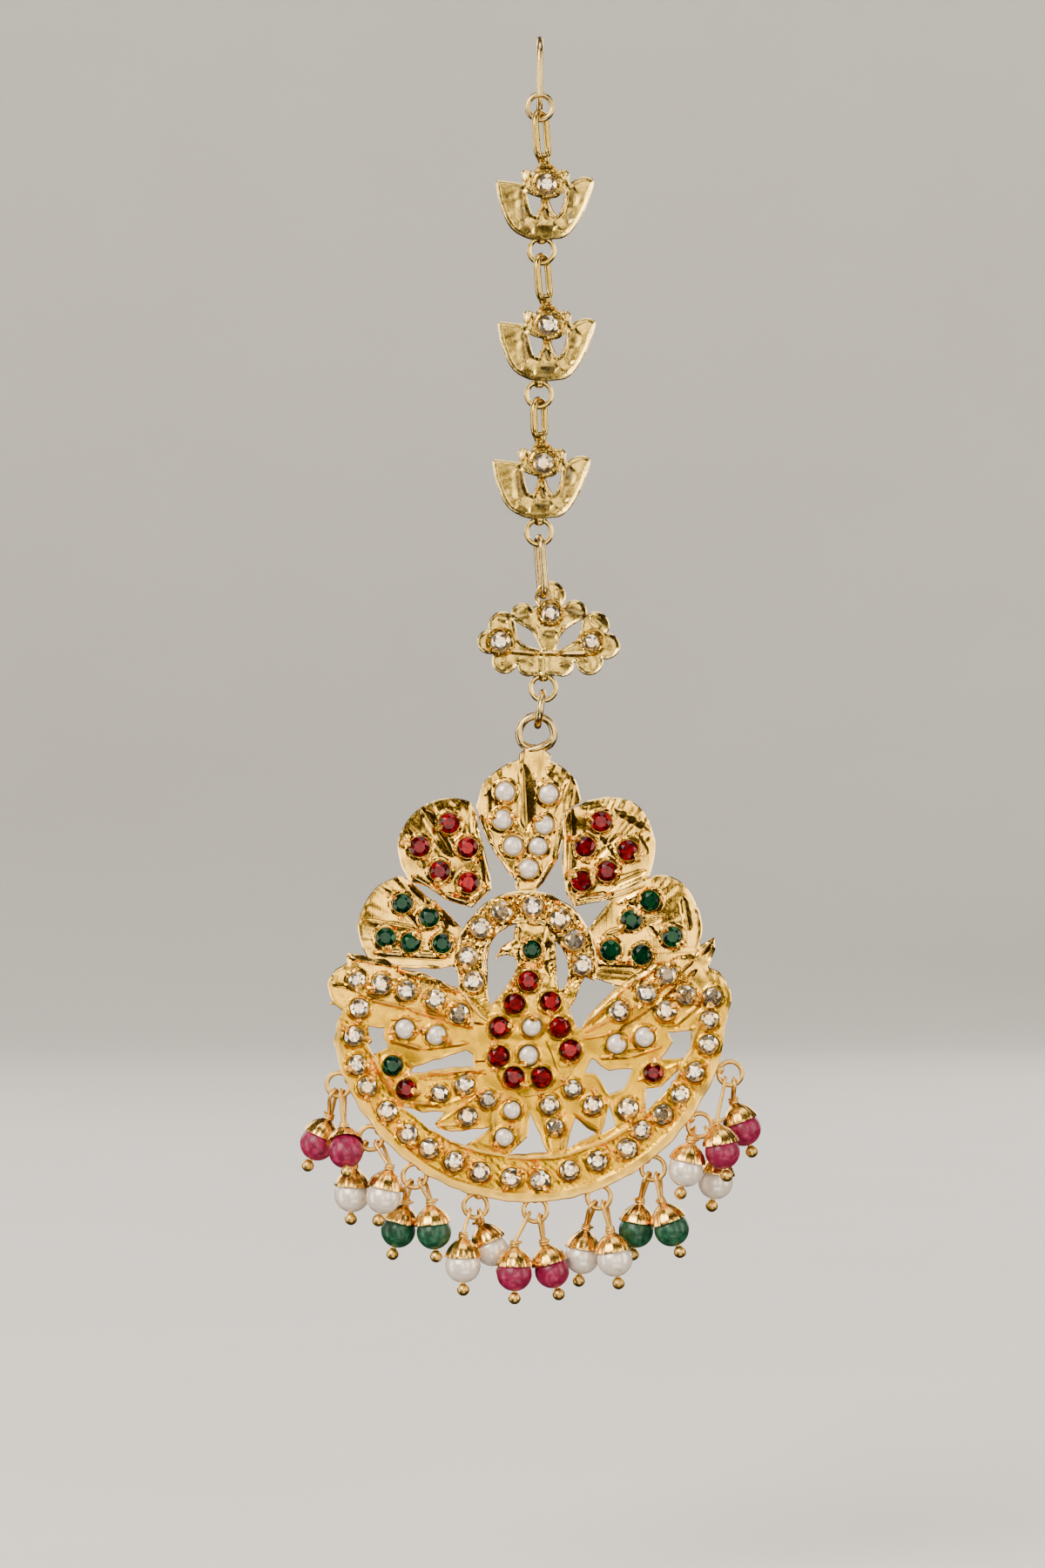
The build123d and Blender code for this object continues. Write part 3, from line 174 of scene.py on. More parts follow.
# Cuts and ridges. Each row runs from x, z to x, z and has half its width, its height (a cut is below
# nothing) and its painted shading: a painted highlight on bright edges at -1, painted shade in hollows at 1.
STROKES = {
    "centre": (
        (-0.6, 27.4, -0.3, 19.8, 0.95, -0.2, 0.9),
        (0.7, 26.4, 0.6, 19.4, 0.28, 0.14, -0.5),
        (4.9, 25.8, 5.0, 20.5, 1.3, -0.16, 0.8),
        (2.2, 27.0, 4.9, 25.5, 1.0, -0.12, 0.7),
        (-5.6, 21.6, -4.3, 18.6, 0.4, 0.16, -0.2),
        (4.2, 21.8, 3.0, 16.5, 0.35, 0.2, -0.4),
        (-4.6, 18.6, -1.6, 14.0, 0.35, 0.2, -0.4),
        (-4.7, 24.2, -4.6, 20.0, 0.4, -0.12, 0.4),
        (2.9, 16.4, 0.9, 13.3, 0.35, 0.2, -0.4),
    ),
    "left_red": (
        (-12.2, 22.3, -8.7, 16.9, 0.75, -0.22, 0.9),
        (-10.9, 22.2, -7.9, 17.0, 0.3, 0.16, -0.5),
        (-8.9, 22.9, -8.2, 20.6, 0.8, -0.12, 0.5),
        (-5.5, 20.6, -4.8, 13.4, 0.4, 0.24, 0.2),
        (-6.4, 22.0, -5.9, 16.0, 0.5, -0.15, 0.5),
        (-13.5, 14.7, -9.7, 12.5, 0.5, 0.28, -0.4),
        (-9.7, 12.5, -6.6, 11.6, 0.5, 0.28, -0.4),
        (-6.6, 11.6, -4.7, 13.4, 0.4, 0.28, -0.2),
        (-13.9, 20.0, -12.0, 15.4, 0.5, -0.12, 0.3),
    ),
    "right_red": (
        (4.9, 22.2, 4.8, 13.0, 0.75, -0.16, 0.8),
        (9.9, 22.2, 13.8, 19.9, 0.4, 0.16, -0.3),
        (7.6, 16.6, 10.7, 19.5, 0.5, -0.18, 0.7),
        (8.2, 19.4, 10.5, 16.4, 0.3, 0.14, -0.4),
        (9.6, 13.7, 13.4, 15.2, 0.6, -0.14, 0.7),
        (5.3, 12.0, 9.2, 12.5, 0.5, 0.28, -0.4),
        (9.2, 12.5, 13.7, 14.5, 0.45, 0.26, -0.3),
        (12.2, 19.6, 13.6, 17.2, 0.6, -0.12, 0.5),
        (6.0, 22.5, 8.4, 22.9, 0.5, -0.1, 0.6),
    ),
    "left_green": (
        (-17.7, 5.9, -9.0, 5.4, 0.55, 0.3, -0.6),
        (-18.8, 9.5, -12.4, 8.5, 0.5, -0.16, 0.6),
        (-16.6, 13.2, -12.6, 8.6, 0.5, -0.16, 0.6),
        (-13.8, 13.7, -8.3, 8.9, 0.4, 0.24, -0.2),
        (-11.9, 12.3, -9.4, 8.6, 0.45, -0.15, 0.6),
    ),
    "right_green": (
        (7.6, 4.6, 13.4, 4.3, 0.4, 0.25, -0.3),
        (7.8, 3.5, 12.4, 3.1, 0.7, -0.12, 0.8),
        (8.6, 7.9, 15.4, 9.8, 0.45, -0.16, 0.5),
        (17.7, 12.2, 18.4, 8.4, 0.6, -0.14, 0.7),
        (10.2, 11.4, 14.4, 13.4, 0.4, 0.22, -0.3),
        (11.0, 12.0, 14.8, 7.6, 0.35, -0.12, 0.4),
    ),
    "bird": (
        (2.4, 9.0, 2.5, 3.2, 0.8, -0.12, 0.8),
        (-1.2, 8.8, -1.1, 6.9, 0.5, -0.1, 0.6),
        (-2.9, 6.2, -1.8, 6.5, 0.3, 0.1, -0.3),
        (-0.8, 4.7, 1.6, 4.7, 0.22, 0.22, -0.4),
        (-0.8, 4.2, 1.6, 4.2, 0.22, 0.22, -0.4),
        (3.6, 1.6, 5.0, -0.6, 0.35, 0.15, -0.2),
        (-4.7, -2.9, -4.6, -6.3, 0.15, -0.15, 0.8),
        (2.2, -4.2, 3.4, -7.6, 0.2, 0.12, -0.1),
        (-4.0, 0.1, -2.4, 2.2, 0.3, 0.14, -0.2),
    ),
    "arch": (
        (-4.5, 11.4, -2.2, 12.2, 0.4, -0.15, 0.5),
        (1.6, 12.3, 3.6, 11.6, 0.4, -0.15, 0.5),
        (-1.6, 9.8, -1.3, 12.1, 0.3, -0.15, 0.7),
        (5.3, 9.0, 6.6, 7.8, 0.3, -0.12, 0.4),
    ),
    "wings": (
        (-20.8, 5.3, -15.0, 4.3, 0.35, 0.28, -0.4),
        (-15.0, 3.9, -7.7, 1.3, 0.35, 0.28, -0.4),
        (-7.7, 1.3, -4.9, -0.6, 0.3, 0.22, -0.3),
        (-12.7, 2.9, -10.2, 2.2, 0.4, -0.2, 0.9),
        (-9.9, 1.9, -8.3, 1.1, 0.25, -0.18, 0.8),
        (-18.3, 0.5, -13.8, -0.6, 0.3, 0.24, -0.3),
        (-13.8, -0.6, -9.7, -1.9, 0.3, 0.26, -0.3),
        (-9.7, -1.9, -6.4, -2.8, 0.3, 0.22, -0.2),
        (-11.7, -0.85, -8.9, -1.65, 0.28, -0.22, 0.8),
        (-18.6, 1.2, -17.3, 0.7, 0.3, -0.2, 0.8),
        (-22.5, 2.3, -20.7, 2.1, 0.25, 0.15, -0.2),
        (-15.8, -1.8, -12.4, -1.9, 0.25, 0.18, -0.2),
        (-15.9, -4.2, -12.2, -5.2, 0.35, 0.24, -0.3),
        (-12.2, -5.2, -6.9, -4.5, 0.3, 0.22, -0.3),
        (-6.2, -2.2, -5.2, -2.4, 0.15, -0.25, 1.0),
        (-6.1, -6.6, -5.1, -6.6, 0.13, -0.2, 1.0),
        (-12.6, -8.6, -5.0, -8.1, 0.35, -0.2, 0.5),
        (-11.4, -8.0, -5.2, -7.6, 0.22, 0.22, -0.3),
        (-17.3, -7.4, -14.4, -11.2, 0.4, 0.26, -0.3),
        (-13.8, -11.3, -9.9, -11.7, 0.35, 0.25, -0.3),
        (-9.9, -11.7, -5.8, -10.2, 0.3, 0.18, -0.2),
        (-14.8, -5.9, -13.2, -7.6, 0.3, 0.2, -0.2),
        (-10.4, -14.1, -5.6, -13.6, 0.3, 0.2, -0.3),
        (-10.2, -13.7, -5.0, -9.9, 0.2, 0.16, -0.2),
        (6.2, -2.7, 10.8, 1.5, 0.35, 0.28, -0.4),
        (10.8, 1.5, 18.0, 6.4, 0.35, 0.28, -0.4),
        (7.4, -2.4, 10.6, 0.5, 0.35, -0.16, 0.6),
        (11.8, 1.4, 14.6, 3.6, 0.35, -0.16, 0.7),
        (10.4, -3.1, 14.8, -0.3, 0.35, -0.24, 0.9),
        (15.4, 0.3, 19.3, 3.9, 0.35, -0.24, 0.9),
        (6.6, -3.3, 14.4, 0.9, 0.26, 0.24, -0.4),
        (14.4, 0.9, 19.0, 5.0, 0.26, 0.2, -0.3),
        (6.4, -4.0, 10.0, -3.4, 0.22, 0.22, -0.4),
        (16.6, -2.6, 20.0, 0.2, 0.35, 0.24, -0.3),
        (15.0, -2.3, 17.2, -2.6, 0.35, -0.16, 0.6),
        (8.2, -6.2, 11.7, -6.1, 0.3, 0.22, -0.3),
        (11.7, -6.1, 15.3, -4.9, 0.3, 0.22, -0.3),
        (11.2, -5.5, 13.2, -5.3, 0.25, -0.16, 0.6),
        (19.9, 5.6, 21.1, 7.3, 0.3, 0.2, -0.3),
        (20.6, 5.0, 21.2, 6.6, 0.6, -0.1, 0.7),
        (17.5, 5.6, 19.4, 5.9, 0.6, -0.12, 0.7),
        (12.4, -8.9, 17.0, -7.0, 0.3, 0.16, -0.2),
        (-3.9, -11.2, -4.2, -16.4, 0.35, 0.22, -0.3),
        (-0.6, -11.4, -1.2, -16.2, 0.35, 0.22, -0.3),
        (1.4, -11.6, 2.6, -17.0, 0.3, 0.2, -0.3),
        (4.2, -12.4, 3.8, -17.0, 0.3, 0.2, -0.3),
        (5.2, -12.6, 8.0, -14.6, 0.3, 0.2, -0.2),
        (9.0, -10.8, 9.4, -14.2, 0.3, 0.2, -0.2),
    ),
}

# ---------------------------------------------------------------- the chain's outlines

# Each lotus: x and z of its stone, x and z of its lower ring from the stone, and the ring above.
LOTUSES = {
    "lotus_top": (0.8, -16.6, -0.6, -7.6, 0.0, -7.7),
    "lotus_middle": (1.0, -32.8, -1.1, -7.9, 0.2, -24.2),
    "lotus_lower": (0.4, -48.6, -0.5, -7.9, -0.1, -40.7),
}
LOTUS_STONE = 1.15
LOTUS_CUP = (
    (-5.7, 0.45), (-5.85, 0.0), (-5.45, -2.0), (-4.5, -4.5), (-3.1, -5.8), (-1.3, -6.35), (0.9, -6.3),
    (2.5, -5.7), (3.9, -3.9), (4.9, -1.6), (5.4, 0.2), (5.0, 0.75), (4.1, 0.85), (3.2, 0.5), (2.7, 0.1),
)
LOTUS_PETALS = (
    ((-1.9, 0.5), (-1.3, 1.7), (-0.4, 3.2), (0.3, 2.6), (1.4, 1.5), (1.8, 0.5)),
    ((-3.0, 1.4), (-2.4, 1.8), (-1.7, 1.5), (-1.2, 0.0), (-2.7, -0.1)),
    ((1.3, 1.7), (2.1, 1.7), (2.6, 1.2), (2.6, -0.1), (1.0, 0.0)),
)
LOTUS_GAPS = (
    ((-2.3, -0.9), (-2.15, -2.2), (-1.7, -3.4), (-1.2, -3.55), (-0.7, -2.6), (-0.65, -1.55), (-1.6, -1.25)),
    ((0.25, -1.7), (0.6, -2.8), (1.1, -3.55), (1.5, -3.1), (1.85, -2.1), (2.05, -0.8), (1.2, -1.4)),
)
LOTUS_STROKES = (
    (-0.3, -1.6, -1.1, -4.0, 0.28, 0.2, -0.5),
    (0.0, -1.6, 0.95, -4.0, 0.28, 0.2, -0.5),
    (-0.3, -2.8, 0.1, -4.0, 0.4, -0.2, 1.0),
    (-2.9, -4.5, -1.7, -5.5, 1.0, -0.07, 0.6),
    (-0.9, -4.7, 1.0, -4.8, 0.8, -0.1, 0.8),
    (2.6, -4.3, 1.8, -5.4, 1.0, -0.07, 0.6),
    (-2.9, -0.4, -2.6, -4.2, 1.1, -0.1, 0.75),
    (3.0, -0.4, 2.4, -4.4, 1.1, -0.1, 0.75),
    (1.9, -0.9, 1.9, -3.0, 0.24, 0.16, -0.4),
    (-1.2, 1.8, -0.4, 3.0, 0.3, 0.2, -0.4),
    (0.2, 2.6, 1.2, 1.7, 0.3, 0.2, -0.4),
    (-2.5, 0.3, -2.3, 1.4, 0.4, 0.25, -0.4),
    (2.0, 0.2, 2.0, 1.3, 0.4, 0.2, -0.3),
    (-0.8, 1.9, 0.6, 1.9, 0.3, -0.15, 0.9),
)

CLOUD = (1.0, -69.2)
CLOUD_HOLE = (-0.6, 5.4)
CLOUD_HOLE_SIZE = 0.58
CLOUD_RING = (-0.6, -5.2)
CLOUD_LOBES = (
    (0.2, 5.3, 1.8), (-3.0, 3.3, 1.3), (-5.3, 2.0, 1.6), (-6.8, 0.1, 1.4), (-5.0, -2.0, 1.55),
    (-2.3, -2.5, 1.35), (1.6, -2.5, 1.35), (4.7, -2.1, 1.6), (6.7, -0.4, 1.5), (5.4, 2.0, 1.6),
    (3.0, 3.5, 1.4),
)
CLOUD_FOOT = ((-3.3, -2.0), (2.6, -2.0), (1.6, -3.8), (-2.6, -3.8))
# Each slot between the cloud's stones: two ends, and the middle of each of its two sides.
CLOUD_SLOTS = (
    ((-3.9, 2.5), (-3.3, 0.2), (-0.9, -0.8), (-2.0, 1.3)),
    ((3.9, 2.7), (3.2, 0.4), (0.9, -0.9), (1.6, 1.1)),
)
CLOUD_STROKES = (
    (-5.4, -0.9, -1.1, -1.3, 0.35, 0.3, -0.5),
    (-1.1, -1.2, 1.1, -1.2, 0.35, 0.3, -0.6),
    (1.1, -1.3, 5.0, -1.3, 0.35, 0.3, -0.5),
    (-5.4, -2.4, -1.9, -2.6, 1.0, -0.1, 0.6),
    (1.4, -2.5, 4.4, -2.3, 1.0, -0.1, 0.6),
    (-0.6, -1.5, -0.6, -3.5, 0.8, 0.12, -0.2),
    (-1.6, 4.9, -0.4, 6.4, 0.7, -0.12, 0.8),
    (1.2, 4.9, 1.3, 6.2, 0.7, -0.14, 1.0),
    (2.0, 3.9, 4.6, 2.9, 0.9, -0.14, 1.0),
    (-4.2, 3.0, -2.0, 3.4, 0.7, -0.1, 0.7),
    (-5.9, 3.0, -4.6, 2.6, 0.6, -0.1, 0.7),
    (5.0, 2.8, 6.2, 2.0, 0.7, -0.1, 0.6),
    (-0.6, 1.0, 1.0, 1.0, 0.6, -0.12, 0.7),
    (-1.0, 0.4, -1.3, 2.0, 0.2, 0.18, -0.4),
    (1.2, 0.4, 1.7, 2.0, 0.2, 0.18, -0.4),
)

CHAIN_BACK = -0.4
# The chain's rings and long links: mean radius, radius of the wire, half width, turn and play.
RING_MEAN = 1.43
RING_WIRE = 0.28
LINK_WIRE = 0.42
LINK_HALF = 1.25
LINK_TURN = -30
LINK_SLACK = 0.1
# The pendant's top ring: x, z, mean radius and radius of its wire. It sags below its middle, and its
# cut end is wound forwards, along places and with wire radii of its own.
TOP_RING = (0.9, 31.0, 2.0, 0.45)
TOP_RING_SAG = 0.35
TOP_END = ((1.95, 0.1, -0.6), (1.2, -0.35, -1.25), (0.1, -0.5, -1.7), (-0.9, -0.35, -1.95))
TOP_END_WIRE = (0.4, 0.42, 0.4, 0.25)
DROP_RING_MEAN = 1.35
DROP_SOLDER = 0.6
# Each drop ring: its direction from straight down towards the right, in degrees, and its distance.
DROP_RINGS = (
    (-66.9, 23.7), (-49.6, 23.8), (-33.5, 23.7), (-14.7, 24.0), (1.9, 23.7), (20.0, 23.6), (37.1, 23.7),
    (54.6, 24.1), (70.9, 24.5),
)

# Strokes at least this wide, in millimetres from line to side, are broad dents and not cuts. The sides
# of a cut are so much steeper than a ridge's, and leave it a flat floor.
BROAD = 0.5
CUT_STEEPNESS = 1.6
# Distances from a sheet's edge, in millimetres, at which rows of points follow it.
RIM_ROWS = (0.12, 0.26, 0.42)
# A sheet's edge is rounded off by so much over so far, and the sheet is nowhere thinner than this.
ROUNDED, ROUNDED_OVER, THINNEST = 0.1, 0.14, 0.2
# A stone's seat: the play round it, the depth of its floor, and the height of the collar about it.
SEAT_PLAY, SEAT_FLOOR, COLLAR = 0.055, 0.12, 0.26
# How far outside a stone two rings of points run, and the share of a step that a grid point is off by.
SEAT_RINGS, GRID_PLAY = (0.05, 0.12), 0.12

# ---------------------------------------------------------------- curves and outlines


def arc(centre, radius, first, last, step):
    """Points round a circle from one direction to another, in degrees, about a step apart."""
    count = ceil(radians(abs(last - first)) * radius / step) + 1
    turn = np.radians(np.linspace(first, last, count))
    return np.stack((centre[0] + radius * np.cos(turn), centre[1] + radius * np.sin(turn)), axis=1)


def ring_of(centre, radius, count):
    """A closed circle of points."""
    turn = np.arange(count) * 2 * pi / count
    return np.stack((centre[0] + radius * np.cos(turn), centre[1] + radius * np.sin(turn)), axis=1)


def divided(line, step, closed=True):
    """A line's corners with more points between them, no further than a step apart."""
    corners = np.asarray(line, float)
    if closed:
        corners = np.vstack((corners, corners[:1]))
    starts = corners[:-1]
    spans = corners[1:] - starts
    counts = np.maximum(1, np.ceil(np.linalg.norm(spans, axis=1) / step)).astype(int)
    row = np.repeat(np.arange(len(starts)), counts)
    place = np.arange(len(row)) - np.repeat(np.cumsum(counts) - counts, counts)
    points = starts[row] + spans[row] * (place / counts[row])[:, None]
    return points if closed else np.vstack((points, corners[-1:]))


def smooth_line(corners, per_span=8):
    """A line through every corner whose spans are cubics, with the slope at a corner half the chord
    between its two neighbours (a Catmull-Rom spline)."""
    knots = np.asarray(corners, float)
    before = np.vstack((2 * knots[:1] - knots[1:2], knots, 2 * knots[-1:] - knots[-2:-1]))
    slopes = (before[2:] - before[:-2]) / 2
    t = (np.arange(per_span) / per_span)[None, :, None]
    start, end = knots[:-1, None], knots[1:, None]
    points = (
        (2 * t**3 - 3 * t**2 + 1) * start + (t**3 - 2 * t**2 + t) * slopes[:-1, None]
        + (3 * t**2 - 2 * t**3) * end + (t**3 - t**2) * slopes[1:, None]
    )
    return np.vstack((points.reshape(-1, 2), knots[-1:]))


def inside(points, loop):
    """Which points lie inside a closed outline: those whose level line crosses it an odd number of times."""
    a = np.asarray(loop, float)
    b = np.roll(a, -1, axis=0)
    rise = np.where(a[:, 1] == b[:, 1], 1.0, b[:, 1] - a[:, 1])
    level = points[:, 1:]
    crosses = (a[:, 1] > level) != (b[:, 1] > level)
    at = a[:, 0] + (level - a[:, 1]) * (b[:, 0] - a[:, 0]) / rise
    return (crosses & (points[:, :1] < at)).sum(axis=1) % 2 == 1


def covered(points, adds, cuts):
    """Which points lie in any of the added outlines and in none of the cut ones."""
    within = np.zeros(len(points), bool)
    for loop in adds:
        within |= inside(points, loop)
    for loop in cuts:
        within &= ~inside(points, loop)
    return within


def ramp(values, low, high):
    """0 below low, 1 above high, and between them 3t^2 - 2t^3 of the share t."""
    share = np.clip((values - low) / (high - low), 0, 1)
    return share * share * (3 - 2 * share)


def segment_distance(points, x1, z1, x2, z2):
    """Distance of each point from a straight stroke, and its share of the way along it."""
    start = np.array((x1, z1))
    span = np.array((x2, z2)) - start
    share = np.clip((points - start) @ span / (span @ span), 0, 1)
    return np.linalg.norm(points - start - share[:, None] * span, axis=1), share


def nearest(points, others, chunk=1500):
    """Distance of each point from the nearest of the others."""
    parts = []
    squares = (others**2).sum(axis=1)
    for first in range(0, len(points), chunk):
        block = points[first:first + chunk]
        gap = (block**2).sum(axis=1)[:, None] + squares - 2 * block @ others.T
        parts.append(np.sqrt(np.maximum(gap.min(axis=1), 0)))
    return np.concatenate(parts)


def ripples(points, wavelength, height, seed):
    """Uneven metal: the sum of a few sine waves in seeded directions, of about the wavelength."""
    rng = np.random.default_rng(seed)
    turn = rng.uniform(0, 2 * pi, WAVES)
    pace = 2 * pi / (wavelength * rng.uniform(0.7, 1.6, WAVES))
    phase = rng.uniform(0, 2 * pi, WAVES)
    waves = np.sin(pace * (points[:, :1] * np.cos(turn) + points[:, 1:] * np.sin(turn)) + phase)
    return waves.sum(axis=1) * height / WAVES**0.5


# ---------------------------------------------------------------- meshes


def solid(points, faces):
    """Points and four-cornered faces of a closed surface, its faces turned outwards: six times its volume
    is the sum of each triangle's triple product, and is positive when they face out."""
    a, b, c, d = (points[faces[:, corner]] for corner in range(4))
    total = (a * (np.cross(b, c) + np.cross(c, d))).sum()
    return points, faces if total > 0 else faces[:, [1, 0, 3, 2]]


def grid_faces(rows, columns, wrap_rows=False, wrap_columns=False):
    """Four-sided faces between neighbours on a grid of points."""
    row = np.arange(rows if wrap_rows else rows - 1)
    column = np.arange(columns if wrap_columns else columns - 1)
    a, b = (part.ravel() for part in np.meshgrid(row, column, indexing="ij"))
    c, d = (a + 1) % rows, (b + 1) % columns
    return np.stack((a * columns + b, c * columns + b, c * columns + d, a * columns + d), axis=1)


def end_caps(rows, sides, poles):
    """Triangles, as four-sided faces with a doubled corner, from the first and last row of a grid to the
    two poles, whose points follow the grid's in the list."""
    column = np.arange(sides)
    after = (column + 1) % sides
    end = (rows - 1) * sides
    first, last = 0 * column + poles, 0 * column + poles + 1
    return np.vstack(
        (
            np.stack((after, column, first, first), axis=1),
            np.stack((end + column, end + after, last, last), axis=1),
        )
    )


def turned(profile, sides):
    """A round closed solid: a profile of radius and height carried round the z axis, with a pole at each
    end of it."""
    radius, height = np.asarray(profile, float).T
    turn = np.arange(sides) * 2 * pi / sides
    grid = np.stack(
        (radius[:, None] * np.cos(turn), radius[:, None] * np.sin(turn), height[:, None] + 0 * turn), axis=2
    )
    count = len(radius)
    points = np.vstack((grid.reshape(-1, 3), ((0, 0, height[0]), (0, 0, height[-1]))))
    caps = end_caps(count, sides, count * sides)
    return solid(points, np.vstack((grid_faces(count, sides, wrap_columns=True), caps)))


def tube(path, reference, radius, sides=10, closed=True):
    """A wire: a circle carried square to a path. Its first axis is the path's direction crossed with the
    reference, and its second is that axis crossed with the direction."""
    if closed:
        ahead = np.roll(path, -1, axis=0) - np.roll(path, 1, axis=0)
    else:
        ahead = np.gradient(path, axis=0)
    ahead /= np.linalg.norm(ahead, axis=1)[:, None]
    side = np.cross(ahead, reference)
    side /= np.linalg.norm(side, axis=1)[:, None]
    other = np.cross(side, ahead)
    turn = np.arange(sides) * 2 * pi / sides
    size = np.broadcast_to(radius, len(path))[:, None, None]
    grid = path[:, None] + size * (
        np.cos(turn)[:, None] * side[:, None] + np.sin(turn)[:, None] * other[:, None]
    )
    points = grid.reshape(-1, 3)
    faces = grid_faces(len(path), sides, wrap_rows=closed, wrap_columns=True)
    if not closed:
        faces = np.vstack((faces, end_caps(len(path), sides, len(points))))
        points = np.vstack((points, path[:1], path[-1:]))
    return solid(points, faces)


def copies(shape, origins, rights, ups, outs):
    """The same shape at many places: each point is the origin plus its x, y and z along the place's
    right, up and out directions, whose lengths are its sizes."""
    points, faces = shape
    places = (
        origins[:, None] + points[None, :, :1] * rights[:, None]
        + points[None, :, 1:2] * ups[:, None] + points[None, :, 2:] * outs[:, None]
    )
    steps = (np.arange(len(origins)) * len(points))[:, None, None]
    return places.reshape(-1, 3), (faces[None] + steps).reshape(-1, faces.shape[1])


def joined(parts):
    """Several shapes as one set of points and one list of faces."""
    points, faces, start = [], [], 0
    for part_points, part_faces in parts:
        points.append(part_points)
        faces.append(part_faces + start)
        start += len(part_points)
    return np.vstack(points), np.vstack(faces)


def make_piece(name, shape, body, finish, crease=32, values=None, face_values=None, replaces=()):
    """A Blender object from points and faces in millimetres, riding on a body. A face whose last two
    corners are the same point is a triangle. values and face_values are named attributes."""
    points, faces = shape
    distinct = np.ones(faces.shape, bool)
    distinct[:, 3] = faces[:, 3] != faces[:, 2]
    corners = distinct.sum(axis=1)
    mesh = bpy.data.meshes.new(name)
    mesh.vertices.add(len(points))
    mesh.vertices.foreach_set("co", (points * MM).ravel())
    mesh.loops.add(int(corners.sum()))
    mesh.loops.foreach_set("vertex_index", faces[distinct].astype(np.int32))
    mesh.polygons.add(len(faces))
    mesh.polygons.foreach_set("loop_start", (np.cumsum(corners) - corners).astype(np.int32))
    mesh.update(calc_edges=True)
    mesh.shade_smooth()
    mesh.set_sharp_from_angle(angle=radians(crease))
    for domain, columns in (("POINT", values), ("FACE", face_values)):
        for key, column in (columns or {}).items():
            attribute = mesh.attributes.new(key, "FLOAT", domain)
            attribute.data.foreach_set("value", column.astype(np.float32))
    mesh.materials.append(finish)
    piece = bpy.data.objects.new(name, mesh)
    bpy.context.scene.collection.objects.link(piece)
    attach(piece, body)
    if replaces:
        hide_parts(*replaces)
    return piece


# ---------------------------------------------------------------- relief in sheet metal


def strokes(points, rows):
    """Cuts, ridges and broad dents. A narrow one is a roof, 1 on its line and 0 at half its width; a broad
    one is a smooth bell. Both narrow at their ends. Ridges add the highest and cuts take the deepest. The
    painted shading follows them too, a painted highlight or painted shade as each row gives it."""
    ridge = np.zeros(len(points))
    cut = np.zeros(len(points))
    painted_shading = np.zeros(len(points))
    for x1, z1, x2, z2, half, height, shade in rows:
        distance, share = segment_distance(points, x1, z1, x2, z2)
        width = half * (0.2 + 0.8 * ramp(np.minimum(share, 1 - share), -0.02, 0.16))
        roof = np.clip(1 - distance / width, 0, 1)
        if half >= BROAD:
            roof = ramp(roof, 0, 1)
            local = shade * roof
            steep = 1.0
        else:
            local = shade * ramp(roof, 0, 0.5)
            steep = CUT_STEEPNESS
        if height > 0:
            ridge = np.maximum(ridge, roof * height)
        else:
            cut = np.minimum(cut, np.minimum(1.0, steep * roof) * height)
        painted_shading = np.where(np.abs(local) > np.abs(painted_shading), local, painted_shading)
    return ridge + cut, painted_shading


def stroke_sides(rows, step):
    """Points along both sides of the narrow strokes, where their slopes begin."""
    found = []
    for x1, z1, x2, z2, half, _, _ in rows:
        if half < BROAD:
            first, last = np.array((x1, z1)), np.array((x2, z2))
            length = np.linalg.norm(last - first)
            side = np.array((z1 - z2, x2 - x1)) / length
            share = np.linspace(0.1, 0.9, max(3, int(length / step)))[:, None]
            line = first + share * (last - first)
            found += [line + half * side, line - half * side]
    return np.vstack(found)


def fan(points, root_x, root_z, reach, first, last, count, height, seed):
    """Flutes that spread from a root: over each equal angle the depth rises as a roof, higher outwards,
    and each roof has a height and a painted shading of its own, light or dark bands painted for reflections."""
    x, z = points[:, 0] - root_x, points[:, 1] - root_z
    middle = (first + last) / 2
    turn = (np.degrees(np.arctan2(z, x)) - middle + 180) % 360 - 180
    place = np.clip((turn / (last - first) + 0.5) * count, 0, count - 0.001)
    number = place.astype(int)
    roof = 1 - np.abs(2 * (place - number) - 1)
    rng = np.random.default_rng(seed)
    out = ramp(np.hypot(x, z), 0.3 * reach, reach)
    heights, tones = rng.uniform(0.35, 1.5, count) * height, rng.uniform(-0.35, 0.45, count)
    return heights[number] * roof * out, tones[number] * ramp(roof, 0.1, 0.5) * out


def seats(points, stones, depth):
    """Holes and collars: the metal is sunk inside a stone's girdle, and stands up round it in an uneven
    rim that falls back over a third of a millimetre. A thin ring of painted shadow lies where the stone
    meets the metal, within a fainter brown staining further out."""
    painted_shading = np.zeros(len(points))
    for x, z, radius in stones:
        away = np.hypot(points[:, 0] - x, points[:, 1] - z) - radius
        near = away < 1.0
        turn = np.arctan2(points[:, 1] - z, points[:, 0] - x)
        wave = 0.06 * np.sin(3 * turn + 5 * x) + 0.05 * np.sin(5 * turn + 7 * z)
        collar = (COLLAR + wave) * (1 - ramp(away, 0.14, 0.42)) * ramp(away, 0.02, 0.1)
        depth = np.where(near, depth + collar, depth)
        depth = np.where(away < SEAT_PLAY, np.minimum(depth, SEAT_FLOOR), depth)
        # Painted shadow in a thin dark ring at the stone's edge, and fainter brown staining out to 0.65 mm.
        shade_and_stain = np.maximum(0.75 * (1 - ramp(away, 0.06, 0.16)), 0.34 * (1 - ramp(away, 0.2, 0.65)))
        painted_shading = np.where(near, np.maximum(painted_shading, shade_and_stain), painted_shading)
    return depth, painted_shading


def worked(relief, rows, stones):
    """The front of a sheet: its relief with its strokes and then its seats worked into it. The strongest
    painted shading of relief and stroke shows, and a seat's painted shadow and brown staining lie over both."""

    def front(points, edge):
        depth, painted_shading = relief(points, edge)
        shape, shade = strokes(points, rows)
        depth, ring = seats(points, stones, depth + shape)
        strong = np.where(np.abs(shade) > np.abs(painted_shading), shade, painted_shading)
        return depth, np.where(ring > 0.05, np.maximum(strong, ring), strong)

    return front


